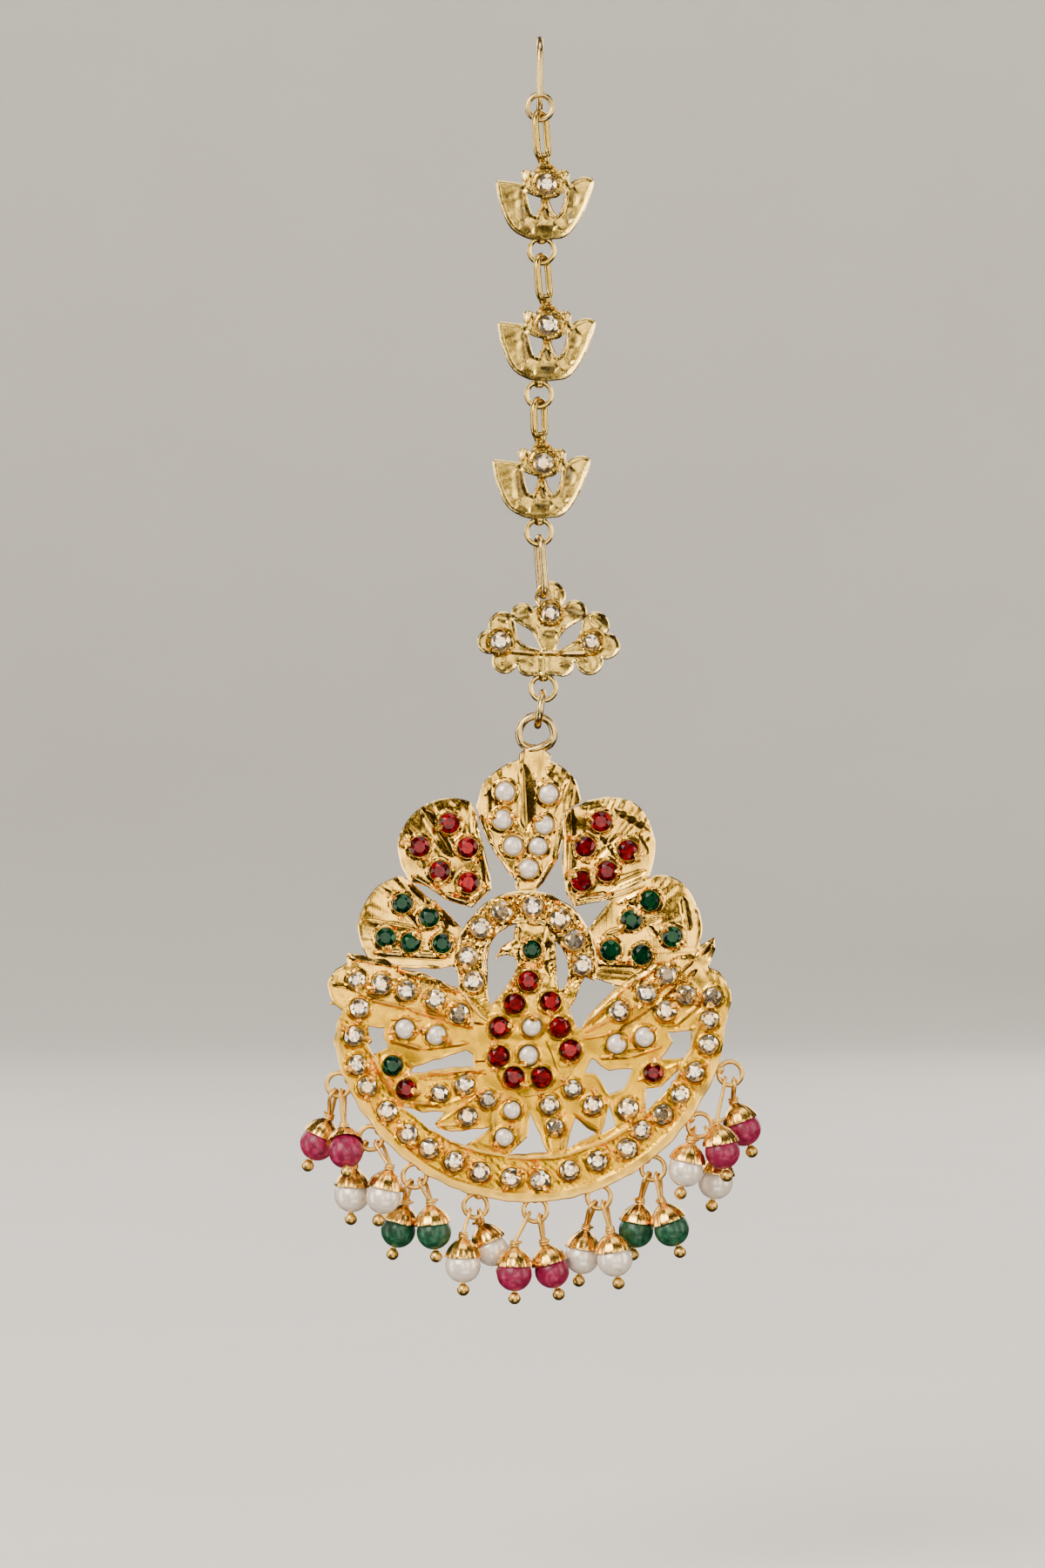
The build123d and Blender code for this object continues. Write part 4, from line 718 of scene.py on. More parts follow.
def filled(points, edges, adds, cuts):
    """The triangles between points, along given edges, that lie inside the outlines."""
    result = geometry.delaunay_2d_cdt(points.tolist(), np.vstack(edges).tolist(), [], 0, 1e-4)
    flat = np.array([tuple(point) for point in result[0]])
    triangles = np.array(result[2])
    return flat, triangles[covered(flat[triangles].mean(axis=1), adds, cuts)]


def outer_edges(triangles, count):
    """The edges that only one triangle has, from start to end with the metal on their left."""
    starts = triangles.ravel()
    ends = np.roll(triangles, -1, axis=1).ravel()
    alone = ~np.isin(starts * count + ends, ends * count + starts)
    return starts[alone], ends[alone]


def outline_of(points, edges, adds, cuts):
    """The corners of the sheet's own outline, with the directions that point into the metal."""
    flat, triangles = filled(points, edges, adds, cuts)
    starts, ends = outer_edges(triangles, len(flat))
    along = flat[ends] - flat[starts]
    along /= np.linalg.norm(along, axis=1)[:, None] + 1e-9
    inward = np.zeros_like(flat)
    for corners in (starts, ends):
        np.add.at(inward, corners, np.stack((-along[:, 1], along[:, 0]), axis=1))
    used = np.unique(starts)
    inward = inward[used] / (np.linalg.norm(inward[used], axis=1)[:, None] + 1e-9)
    return flat[used], inward


def lines_and_edges(adds, cuts, rows, stones, step):
    """Points on the outlines, on two rings round each stone and on the strokes' lines, with the pairs of
    numbers of those that are joined."""
    loops = [divided(loop, step) for loop in (*adds, *cuts)]
    loops += [ring_of((x, z), radius + play, 22) for x, z, radius in stones for play in SEAT_RINGS]
    lines = [divided((row[:2], row[2:4]), step, closed=False) for row in rows]
    edges, start = [], 0
    for number, line in enumerate((*loops, *lines)):
        index = start + np.arange(len(line))
        pairs = np.stack((index, np.roll(index, -1)), axis=1)
        edges.append(pairs if number < len(loops) else pairs[:-1])
        start += len(line)
    return np.vstack((*loops, *lines)), edges


def three_way_grid(low, high, taken, outline, adds, cuts, step):
    """Points on a three-way grid, each a little off its place. Those too near to points that are taken, or
    to the outline, are left out."""
    x, z = np.meshgrid(np.arange(low[0], high[0], step), np.arange(low[1], high[1], step * 0.866))
    x[1::2] += step / 2
    grid = np.stack((x.ravel(), z.ravel()), axis=1)
    grid += np.random.default_rng(SEED).uniform(-GRID_PLAY, GRID_PLAY, grid.shape) * step
    cell = 0.75 * step
    full = np.unique(np.floor(taken / cell).astype(int) @ (1, 100000))
    grid = grid[~np.isin(np.floor(grid / cell).astype(int) @ (1, 100000), full)]
    grid = grid[covered(grid, adds, cuts)]
    return grid[nearest(grid, outline) > RIM_ROWS[-1] + 0.5 * step]


def sheet(adds, cuts, rows, stones, step, relief, back, origin=PENDANT, ragged=0.03):
    """A closed sheet of metal, and its painted shading of light and shade. The inside of its outlines is
    covered with small triangles whose corners lie on the outlines, the strokes, the stones' rims and a
    three-way grid between them. The front is at the depth relief(points, distance from the edge) with
    strokes and seats, the back at one depth less its shallow dents, and a wall joins them. Near the edge the
    sheet wanders a ragged way."""
    fixed, edges = lines_and_edges(adds, cuts, rows, stones, step)
    outline, inward = outline_of(fixed, edges, adds, cuts)
    rim = []
    for depth_in in RIM_ROWS:
        row = outline + depth_in * inward
        rim.append(row[nearest(row, outline) > 0.9 * depth_in])
    sides = stroke_sides(rows, step)
    sides = sides[nearest(sides, outline) > RIM_ROWS[-1] + 0.4 * step]
    taken = np.vstack((fixed, *rim, sides))
    grid = three_way_grid(fixed.min(axis=0), fixed.max(axis=0), taken, outline, adds, cuts, step)
    flat, triangles = filled(np.vstack((taken, grid)), edges, adds, cuts)
    used, triangles = np.unique(triangles, return_inverse=True)
    triangles = triangles.reshape(-1, 3)
    flat = flat[used]
    count = len(flat)
    starts, ends = outer_edges(triangles, count)
    edge = nearest(flat, np.vstack((flat[starts], (flat[starts] + flat[ends]) / 2)))
    depth, painted_shading = worked(relief, rows, stones)(flat, edge)
    depth = np.maximum(depth - ROUNDED * (1 - ramp(edge, 0, ROUNDED_OVER)), back + THINNEST)
    fade = ragged * (1 - ramp(edge, 0.3, 0.8))
    x, z = (flat + origin).T
    x = x + fade * ripples(flat, 2.6, 1.0, SEED + 21)
    z = z + fade * ripples(flat, 2.6, 1.0, SEED + 22)
    dents = np.clip(0.07 + ripples(flat, 5.5, 0.09, SEED + 23), 0, 0.17)
    front = np.stack((x, PLATE_Y - depth, z), axis=1)
    behind = np.stack((x, PLATE_Y - back - dents, z), axis=1)
    walls = np.stack((ends, starts, starts + count, ends + count), axis=1)
    skins = np.vstack((triangles, triangles[:, ::-1] + count))
    faces = np.vstack((np.hstack((skins, skins[:, 2:])), walls))
    return solid(np.vstack((front, behind)), faces), {"painted_shading": np.concatenate((painted_shading, 0 * painted_shading))}


# ---------------------------------------------------------------- finishes


class Value:
    """A number in a finish. Each operator on it adds a Math node, so that a formula reads as one."""

    def __init__(self, finish, socket):
        self.finish = finish
        self.socket = socket

    def math(self, operation, *terms):
        node = self.finish.node("ShaderNodeMath", {"operation": operation}, dict(enumerate(terms)))
        return Value(self.finish, node.outputs[0])

    def __add__(self, other):
        return self.math("ADD", self, other)

    def __sub__(self, other):
        return self.math("SUBTRACT", self, other)

    def __rsub__(self, other):
        return self.math("SUBTRACT", other, self)

    def __mul__(self, other):
        return self.math("MULTIPLY", self, other)

    def __neg__(self):
        return self.math("MULTIPLY", self, -1.0)

    def __abs__(self):
        return self.math("ABSOLUTE", self)

    __radd__ = __add__
    __rmul__ = __mul__


class Finish:
    """A material: one Principled shader, with constants on its sockets and the nodes that feed it."""

    def __init__(self, name, **constants):
        self.material = bpy.data.materials.new(name)
        self.material.use_nodes = True
        self.tree = self.material.node_tree
        self.shader = self.tree.nodes["Principled BSDF"]
        for key, value in constants.items():
            self.shader.inputs[key.replace("_", " ")].default_value = value
        self.place = self.node("ShaderNodeTexCoord").outputs["Object"]

    def node(self, kind, settings=None, inputs=None):
        """Add a node: its settings are set first, then each socket gets its value or link."""
        node = self.tree.nodes.new(kind)
        for key, value in (settings or {}).items():
            setattr(node, key, value)
        for key, value in (inputs or {}).items():
            self.feed(node.inputs[key], value)
        return node

    def feed(self, socket, value):
        """Link a value or socket to a socket, or set the socket's own value."""
        if isinstance(value, Value):
            value = value.socket
        if isinstance(value, bpy.types.NodeSocket):
            self.tree.links.new(value, socket)
        else:
            socket.default_value = value

    def set(self, **sockets):
        """Feed sockets of the shader."""
        for key, value in sockets.items():
            self.feed(self.shader.inputs[key.replace("_", " ")], value)

    def noise(self, millimetres, detail, vector=None):
        """Cloudy noise whose clouds are so many millimetres across, from about 0.2 to 0.8."""
        inputs = {"Vector": vector or self.place, "Scale": 1 / (millimetres * MM), "Detail": detail}
        return Value(self, self.node("ShaderNodeTexNoise", None, inputs).outputs["Fac"])

    def cells(self, millimetres):
        """Distance from scattered points so many millimetres apart, 0 at each point."""
        inputs = {"Vector": self.place, "Scale": 1 / (millimetres * MM)}
        return Value(self, self.node("ShaderNodeTexVoronoi", None, inputs).outputs["Distance"])

    def stretched(self, turn, x, z):
        """The place turned about y, in degrees, and drawn out along x and z."""
        inputs = {"Vector": self.place, "Rotation": (0.0, radians(turn), 0.0), "Scale": (x, 1.0, z)}
        return self.node("ShaderNodeMapping", None, inputs).outputs["Vector"]

    def height(self):
        """How high a point is, in metres."""
        return Value(self, self.node("ShaderNodeSeparateXYZ", None, {"Vector": self.place}).outputs["Z"])

    def attribute(self, name):
        """A number that the piece's points or faces hold, and 0 where they hold none."""
        return Value(self, self.node("ShaderNodeAttribute", {"attribute_name": name}).outputs["Fac"])

    def between(self, value, low, high):
        """0 below low and 1 above high, with a smooth step between."""
        inputs = {"Value": value, "From Min": low, "From Max": high}
        node = self.node("ShaderNodeMapRange", {"interpolation_type": "SMOOTHSTEP"}, inputs)
        return Value(self, node.outputs["Result"])

    def blend(self, share, first, second):
        """A colour between two colours."""
        inputs = {0: share, 6: colour4(first), 7: colour4(second)}
        return self.node("ShaderNodeMix", {"data_type": "RGBA", "clamp_factor": True}, inputs).outputs[2]

    def bump(self, height, millimetres, under=None):
        """A normal bent by a height of 0 to 1 that stands for so many millimetres."""
        inputs = {"Height": height, "Distance": millimetres * MM}
        if under is not None:
            inputs["Normal"] = under
        return self.node("ShaderNodeBump", None, inputs).outputs["Normal"]


def colour4(value):
    """A colour with its alpha, or a socket as it is."""
    if isinstance(value, (Value, bpy.types.NodeSocket)):
        return value
    return (*tuple(value)[:3], 1.0)


def gold(name, upper, lower, dark, pale, smooth, satin, grain, scratch, patina=None):
    """Worn gold: one colour and gloss above the pendant's middle and another below, with painted shade in
    the hollows and painted highlights on the bright-cut edges, both from the painted shading attribute,
    with fine scratches and a grained skin."""
    finish = Finish(name, Metallic=1.0)
    low = 1 - finish.between(finish.height(), (PENDANT[1] - 3.5) * MM, (PENDANT[1] + 5.5) * MM)
    cloud = finish.between(finish.noise(1.7, 3.0), 0.38, 0.72)
    fine = finish.noise(0.28, 3.0)
    painted_shading = finish.attribute("painted_shading")
    # Painted shade: where the painted shading is dark, its edge broken by random clouds; it paints the dark
    # colour below.
    shade_mask = finish.between(painted_shading + 0.5 * (cloud - 0.5), 0.12, 0.95)
    # Painted highlight: where the painted shading is light; it paints the pale colour below.
    bright = finish.between(-painted_shading, 0.05, 0.6)
    colour = finish.blend(low, upper, lower)
    colour = finish.blend(0.22 * cloud, colour, dark)
    colour = finish.blend(0.8 * shade_mask, colour, dark)
    # Dark flecks are stains, with more of them where the painted shading is dark.
    fleck = finish.between(finish.noise(0.45, 3.0) + 0.35 * painted_shading, 0.6, 0.75)
    colour = finish.blend((0.25 + 0.2 * low) * fleck, colour, dark)
    colour = finish.blend(0.5 * bright, colour, pale)
    if patina:
        # Patina, strongest where the painted shade is.
        shade_and_stain = finish.between(finish.noise(1.6, 3.0), 0.5, 0.8) * (0.3 + 0.6 * shade_mask)
        colour = finish.blend(shade_and_stain, colour, patina)
    lines = finish.noise(0.22, 1.0, finish.stretched(38, 1.0, 0.06))
    lines = lines + finish.noise(0.3, 1.0, finish.stretched(-52, 1.0, 0.08))
    wear = finish.between(fine, 0.42, 0.75)
    rough = smooth + (satin - smooth) * low + 0.12 * wear + 0.08 * cloud
    skin = finish.bump((fine + 0.7 * finish.noise(0.7, 3.0)) * (0.12 + 0.88 * low), grain)
    skin = finish.bump(finish.between(lines, 0.7, 1.3), scratch, skin)
    finish.set(Base_Color=colour, Roughness=rough, Normal=skin)
    return finish.material


def cut_glass(name, dark, bright, glint):
    """Foiled glass: each facet has its own share of painted light, standing for what comes back out of the
    stone, in the spark attribute, with a painted glint on the brightest, under a clear gloss."""
    finish = Finish(name, Coat_Weight=0.1, Coat_Roughness=0.03, IOR=1.28)
    spark = finish.attribute("spark")
    depth = finish.noise(0.5, 2.0)
    share = finish.between(spark + 0.9 * (depth - 0.5), 0.0, 1.0)
    colour = finish.blend(share, dark, bright)
    # A painted glint on the facets with the highest spark.
    colour = finish.blend(finish.between(spark, 0.9, 1.0), colour, glint)
    finish.set(Base_Color=colour, Metallic=0.1 + 0.4 * share, Roughness=0.05 + 0.1 * depth)
    return finish.material


def rhinestone(name, dark, bright, painted_gold_reflection):
    """Clear foiled stone: painted reflections, facets running from smoky to white by their spark, and a few
    painted with a reflection of the gold's warmth.
    """
    finish = Finish(name, Coat_Weight=1.0, Coat_Roughness=0.02, IOR=1.6)
    spark = finish.attribute("spark")
    share = finish.between(spark + 1.2 * (finish.noise(0.3, 2.0) - 0.5), 0.1, 0.85)
    colour = finish.blend(share, dark, bright)
    colour = finish.blend(0.75 * finish.between(finish.noise(0.7, 1.0), 0.44, 0.62), colour, painted_gold_reflection)
    finish.set(Base_Color=colour, Metallic=0.35 + 0.6 * share, Roughness=0.07 + 0.1 * (1 - share))
    return finish.material


def pearl(name, body, blush, shade):
    """Nacre: a milky body with a faint blush and grey clouds, with painted shade on the side that goes
    down into a seat or a cap, as its flank attribute gives it, and growth rings too fine to feel."""
    finish = Finish(name, Coat_Weight=0.9, Coat_Roughness=0.09, Metallic=0.3, IOR=1.6)
    colour = finish.blend(finish.between(finish.noise(1.6, 2.0), 0.35, 0.7), body, blush)
    colour = finish.blend(0.5 * finish.between(finish.noise(0.7, 3.0), 0.55, 0.8), colour, shade)
    # Painted shade on the pearl's side, towards its seat or cap.
    colour = finish.blend(0.6 * finish.attribute("painted_flank_shade"), colour, shade)
    pit = 1 - finish.between(finish.cells(0.55), 0.03, 0.12)
    finish.set(
        Base_Color=colour, Roughness=0.24 + 0.16 * finish.noise(0.5, 2.0),
        Normal=finish.bump(finish.noise(0.35, 3.0) - 0.6 * pit, 0.012),
    )
    return finish.material


def mottled(name, body, light, dark):
    """Dyed stone: light clouds and dark veins in its body, under a waxy polish."""
    finish = Finish(name, Coat_Weight=0.2, Coat_Roughness=0.2, IOR=1.4)
    warp = finish.noise(0.6, 5.0)
    vein = 1 - finish.between(abs(finish.noise(1.5, 5.0) - 0.5), 0.0, 0.04)
    colour = finish.blend(0.7 * finish.between(warp, 0.42, 0.7), body, light)
    colour = finish.blend(0.6 * vein, colour, dark)
    finish.set(
        Base_Color=colour, Roughness=0.3 + 0.25 * warp, Normal=finish.bump(finish.noise(0.4, 3.0), 0.012)
    )
    return finish.material


def colour_property(name, description, default):
    """A colour that a user would change."""
    return bpy.props.FloatVectorProperty(
        name=name, description=description, subtype="COLOR", default=default
    )


class TikkaColours(bpy.types.PropertyGroup):
    """Colours of the metals, stones and beads."""

    upper_gold: colour_property("Polished gold", "The pale gold of the feather lobes", (0.92, 0.53, 0.07))
    lower_gold: colour_property("Satin gold", "The warmer gold of the wings and crescent", (1.0, 0.53, 0.0))
    # dark_gold is the colour of the painted shade and dark reflections in cuts and hollows, and of random
    # clouds and flecks.
    dark_gold: colour_property("Hollows", "The bronze that shows in cuts and hollows", (0.11, 0.066, 0.014))
    # pale_gold is the colour of the painted highlights on bright-cut edges.
    pale_gold: colour_property("Bright cuts", "The near-white of bright-cut edges", (1.0, 0.72, 0.26))
    chain_gold: colour_property("Chain gold", "The silvery gold of the lotus plates", (0.68, 0.45, 0.09))
    patina: colour_property("Patina", "The grey-green tarnish in the chain's folds", (0.25, 0.24, 0.14))
    # ruby and emerald are the colours of the stones' painted light, where light seems to come back out of
    # them.
    ruby: colour_property("Red glass", "The red stones where light comes back", (0.36, 0.0, 0.004))
    emerald: colour_property("Green glass", "The green stones where light comes back", (0.0, 0.06, 0.016))
    nacre: colour_property("Pearl", "The body colour of the pearls", (0.77, 0.67, 0.56))
    pink: colour_property("Pink beads", "The body colour of the pink beads", (0.17, 0.0, 0.03))
    green: colour_property("Green beads", "The body colour of the green beads", (0.003, 0.045, 0.018))


class TikkaSizes(bpy.types.PropertyGroup):
    """Sizes of the dressing, and the studio."""

    mesh_step: bpy.props.FloatProperty(
        name="Sheet mesh", description="Spacing of the relief's points, in millimetres", default=0.17,
        min=0.1, max=1.0,
    )
    grain: bpy.props.FloatProperty(
        name="Grain size", description="Radius of the gold grains beside the stones, in millimetres",
        default=0.42, min=0.1, max=0.6,
    )
    flute: bpy.props.FloatProperty(
        name="Flute height", description="Height of the lobes' flutes, in millimetres", default=0.05,
        min=0.0, max=0.3,
    )
    lens: bpy.props.FloatProperty(
        name="Lens", description="Focal length of the camera, in millimetres", default=110.0, min=50.0,
        max=200.0,
    )
    view_height: bpy.props.FloatProperty(
        name="View height", description="Height of the scene that the camera takes in", default=0.18,
        unit="LENGTH",
    )
    floor_drop: bpy.props.FloatProperty(
        name="Floor drop", description="Distance from the lowest bead to the floor", default=0.035,
        unit="LENGTH",
    )


def sizes():
    return bpy.context.scene.tikka_sizes


FINISHES = {}


def make_finishes():
    """Every finish by its name."""
    c = bpy.context.scene.tikka_colours
    upper, lower, chain = tuple(c.upper_gold), tuple(c.lower_gold), tuple(c.chain_gold)
    dark, pale, patina, nacre = tuple(c.dark_gold), tuple(c.pale_gold), tuple(c.patina), tuple(c.nacre)
    # Each gold's dark colour paints its shade and its pale colour its highlights, through the painted shading
    # attribute; the dark one also colours random clouds and flecks.
    chain_dark, grain_dark = (0.14, 0.09, 0.035), (0.45, 0.18, 0.02)
    wire_upper, wire_lower, cap_lower = (0.76, 0.53, 0.19), (0.95, 0.58, 0.13), (0.98, 0.55, 0.1)
    grain_upper, grain_lower, grain_pale = (1.0, 0.54, 0.07), (1.0, 0.48, 0.03), (1.0, 0.66, 0.18)
    golds = {
        "plate_gold": (upper, lower, dark, pale, 0.13, 0.31, 0.016, 0.0025),
        "chain_gold": (chain, chain, chain_dark, pale, 0.2, 0.2, 0.004, 0.002, patina),
        "wire_gold": (wire_upper, wire_lower, dark, pale, 0.22, 0.36, 0.003, 0.001),
        "cap_gold": (lower, cap_lower, dark, pale, 0.17, 0.19, 0.004, 0.002),
        "grain_gold": (grain_upper, grain_lower, grain_dark, grain_pale, 0.24, 0.28, 0.01, 0.004),
    }
    glasses = {
        "red_glass": ((0.02, 0.0, 0.001), tuple(c.ruby), (0.75, 0.2, 0.18)),
        "green_glass": ((0.0, 0.006, 0.003), tuple(c.emerald), (0.15, 0.4, 0.25)),
    }
    crystals = {"clear_crystal": ((0.07, 0.045, 0.02), (0.76, 0.64, 0.47), (0.62, 0.37, 0.11))}
    pearls = {
        "seed_pearl": (nacre, (0.8, 0.65, 0.54), (0.16, 0.11, 0.07)),
        "pearl_bead": (nacre, (0.86, 0.74, 0.62), (0.18, 0.12, 0.08)),
    }
    dyed = {
        "pink_bead": (tuple(c.pink), (0.4, 0.015, 0.085), (0.08, 0.0, 0.01)),
        "green_bead": (tuple(c.green), (0.016, 0.13, 0.06), (0.002, 0.016, 0.007)),
    }
    kinds = ((gold, golds), (rhinestone, crystals), (cut_glass, glasses), (pearl, pearls), (mottled, dyed))
    return {name: make(name, *terms) for make, rows in kinds for name, terms in rows.items()}


def finish_of(name):
    """A finish by its name. All are made when the first is asked for."""
    if not FINISHES:
        FINISHES.update(make_finishes())
    return FINISHES[name]


# ---------------------------------------------------------------- places read from the frame


def welded(node):
    """A CAD node's points in millimetres and triangles, with its doubled points made one."""
    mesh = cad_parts[node].data
    mesh.calc_loop_triangles()
    points = np.empty(len(mesh.vertices) * 3, np.float32)
    mesh.vertices.foreach_get("co", points)
    triangles = np.empty(len(mesh.loop_triangles) * 3, np.int32)
    mesh.loop_triangles.foreach_get("vertices", triangles)
    _, first, back = np.unique(
        np.round(points.reshape(-1, 3) * 1e6).astype(np.int64), axis=0, return_index=True, return_inverse=True
    )
    return points.reshape(-1, 3)[first].astype(float) / MM, back.reshape(-1)[triangles].reshape(-1, 3)


def loose_solids(node):
    """The low and high corners of each loose solid in a CAD node, and the mean of its points. Points that
    share a triangle take the smallest number among them until nothing changes."""
    points, triangles = welded(node)
    label = np.arange(len(points))
    changed = True
    while changed:
        least = np.repeat(label[triangles].min(axis=1), 3)
        following = label.copy()
        np.minimum.at(following, triangles.ravel(), least)
        following = following[following]
        changed = bool((following != label).any())
        label = following
    found = [points[label == number] for number in np.unique(label)]
    return [(part.min(axis=0), part.max(axis=0), part.mean(axis=0)) for part in found]


def stones_of(node, share=1.0, origin=PENDANT):
    """x, z and radius of each stone in a CAD node, from an origin. The share is how much of its radius
    half its width is."""
    rows = []
    for low, high, _ in loose_solids(node):
        middle = (low + high) / 2
        rows.append((middle[0] - origin[0], middle[2] - origin[1], (high[0] - low[0]) / 2 / share))
    return rows


# Half the width of an eight-sided stone across its flats, as a share of its radius.
FLAT_SHARE = cos(radians(22.5))
CUT_NODES = {
    "red_glass": ("feather_rubies_left", "feather_rubies_right", "breast_rubies", "leaf_rubies"),
    "green_glass": ("feather_emeralds_left", "feather_emeralds_right", "head_emerald", "leaf_emerald"),
    "clear_crystal": (
        "arch_crystals", "wing_crystals_left", "wing_crystals_right", "tail_crystals_left",
        "tail_crystals_right", "crescent_crystals",
    ),
}
PEARL_NODES = ("feather_pearls", "breast_pearls", "wing_pearls_left", "wing_pearls_right", "tail_pearls")
CUT_STONES = {node: stones_of(node, FLAT_SHARE) for nodes in CUT_NODES.values() for node in nodes}
HALF_PEARLS = {node: stones_of(node) for node in PEARL_NODES}
ALL_STONES = [row for rows in (CUT_STONES | HALF_PEARLS).values() for row in rows]


def stones_in(adds):
    """The pendant's stones that are set in a sheet."""
    places = np.array([row[:2] for row in ALL_STONES])
    return [row for row, within in zip(ALL_STONES, covered(places, adds, ())) if within]


# ---------------------------------------------------------------- the pendant's sheets


def pendant_sheet(name, adds, relief, rows, behind=0.0, ragged=0.03):
    """One sheet of the pendant as a piece, its back a given way in front of the plate's, so that no two
    sheets share a surface where they are soldered over each other."""
    step, back = sizes().mesh_step, behind - PLATE / 2
    shape, values = sheet(adds, OPENINGS, rows, stones_in(adds), step, relief, back, ragged=ragged)
    return make_piece(
        name, shape, BODY, finish_of("plate_gold"), values=values, replaces=("pendant_plate",)
    )


class TIKKA_OT_feather_lobes(bpy.types.Operator):
    """Press the five fluted feather lobes, each with a turned-up rim"""

    bl_idname = "tikka.feather_lobes"
    bl_label = "Feather Lobes"

    def execute(self, context):
        for seed, (name, (rim, sides)) in enumerate(LOBES.items()):
            loop = np.vstack((smooth_line(rim), np.array(sides)))

            def relief(points, edge):
                flutes, painted_flute_light = fan(points, *FLUTES[name], FLUTE_COUNT, sizes().flute, SEED + seed)
                rolled = 1 - ramp(edge, 0.1, 0.45)
                depth = LOBE_DEPTHS[name] + ripples(points, 8.0, 0.16, SEED + seed) + flutes
                # Painted reflection bands on the flutes, and a painted highlight on the rolled rim.
                return depth + 0.03 * rolled, painted_flute_light - 0.5 * rolled

            adds = (loop, SOLDER_TAB) if name == "centre" else (loop,)
            pendant_sheet("feather_" + name, adds, relief, STROKES[name], 0.05 + 0.05 * seed)
        return {"FINISHED"}


class TIKKA_OT_arch(bpy.types.Operator):
    """Press the arch over the bird's head: a grained channel between two rims"""

    bl_idname = "tikka.arch"
    bl_label = "Arch"

    def execute(self, context):
        disc = arc(ARCH, ARCH_OUTER, 0, 360, sizes().mesh_step)[:-1]

        def relief(points, edge):
            away = np.hypot(points[:, 0] - ARCH[0], points[:, 1] - ARCH[1])
            from_inner = away - ARCH_INNER
            inner = ramp(from_inner, -0.5, 0.0) * (1 - ramp(from_inner, 0.3, 0.6))
            outer = ramp(away - ARCH_OUTER, -0.6, -0.35)
            channel = (1 - inner) * (1 - outer)
            rims = np.maximum(inner, outer)
            grained = 0.05 * ripples(points, 0.5, 1.0, SEED + 1) * channel
            depth = 0.6 + ripples(points, 1.8, 0.04, SEED) + grained
            # Painted shade in the grained channel between the rims, painted highlights on the rims.
            return depth + 0.2 * rims, 0.35 * channel - 0.5 * rims

        pendant_sheet("arch", (disc,), relief, STROKES["arch"], 0.33)
        return {"FINISHED"}


class TIKKA_OT_bird(bpy.types.Operator):
    """Press the bird: a body that swells from its outline, with cut facets on its neck"""

    bl_idname = "tikka.bird"
    bl_label = "Bird"

    def execute(self, context):
        def relief(points, edge):
            swell = 0.32 * (1 - np.exp(-edge / 0.9))
            depth = 0.6 + swell + ripples(points, 2.6, 0.08, SEED + 2)
            # A painted highlight along the bird's rim.
            return depth, -0.3 * (1 - ramp(edge, 0.1, 0.3))

        pendant_sheet("bird", (BIRD,), relief, STROKES["bird"], 0.45)
        return {"FINISHED"}


class TIKKA_OT_wings(bpy.types.Operator):
    """Press the wings, the tail and the crescent that they stand in"""

    bl_idname = "tikka.wings"
    bl_label = "Wings and Crescent"

    def execute(self, context):
        lift = degrees(np.arcsin(CRESCENT_TOP / CRESCENT))
        bowl = arc((0, 0), CRESCENT, 180 - lift, 360 + lift, sizes().mesh_step)

        def relief(points, edge):
            x, z = points.T
            out = np.hypot(x, z)
            rise = np.hypot(x - INNER_CENTRE[0], z - INNER_CENTRE[1]) - CRESCENT_INNER
            low = ramp(-z, 0.5, 3.0)
            wander = ripples(points, 3.5, 0.07, SEED + 5)
            outer = ramp(out + wander, CRESCENT - 1.3, CRESCENT - 1.0)
            inner = ramp(rise + wander, -0.15, 0.15) * (1 - ramp(rise + wander, 0.4, 0.7))
            channel = ramp(rise, 0.5, 0.9) * (1 - outer)
            depth = 0.55 + ripples(points, 3.4, 0.085, SEED + 3)
            depth += low * (0.17 * outer + 0.2 * inner - 0.06 * channel)
            depth += low * channel * ripples(points, 0.55, 0.04, SEED + 4)
            groove = ramp(-rise, 0.05, 0.2) * (1 - ramp(-rise, 0.3, 0.5))
            depth -= 0.1 * low * groove
            rolled = 1 - ramp(edge, 0.12, 0.5)
            # Painted shade in the crescent's channel and groove, painted highlights on its rims and on the
            # rolled edge.
            painted_shading = low * (0.12 * channel + 0.3 * groove - 0.3 * np.maximum(inner, outer)) - 0.3 * rolled
            return depth + 0.06 * rolled, painted_shading

        pendant_sheet("wings_and_crescent", (bowl, WINGS), relief, STROKES["wings"], ragged=0.07)
        return {"FINISHED"}


def circle_path(x, z, radius, count=36):
    """A ring's centre line in the plane of the plates."""
    turn = np.arange(count) * 2 * pi / count
    return np.stack((x + radius * np.cos(turn), PLATE_Y + 0 * turn, z + radius * np.sin(turn)), axis=1)


def solder_blob(x, z, radius, thick):
    """A flattened drop of solder, upright in the plane of the plates: an ellipsoid."""
    latitude = np.radians(np.linspace(-80, 80, 9))
    points, faces = turned(np.stack((np.cos(latitude), np.sin(latitude)), axis=1), 16)
    placed = np.array((x, PLATE_Y, z)) + points[:, (0, 2, 1)] * (radius, -thick, radius)
    return solid(placed, faces)


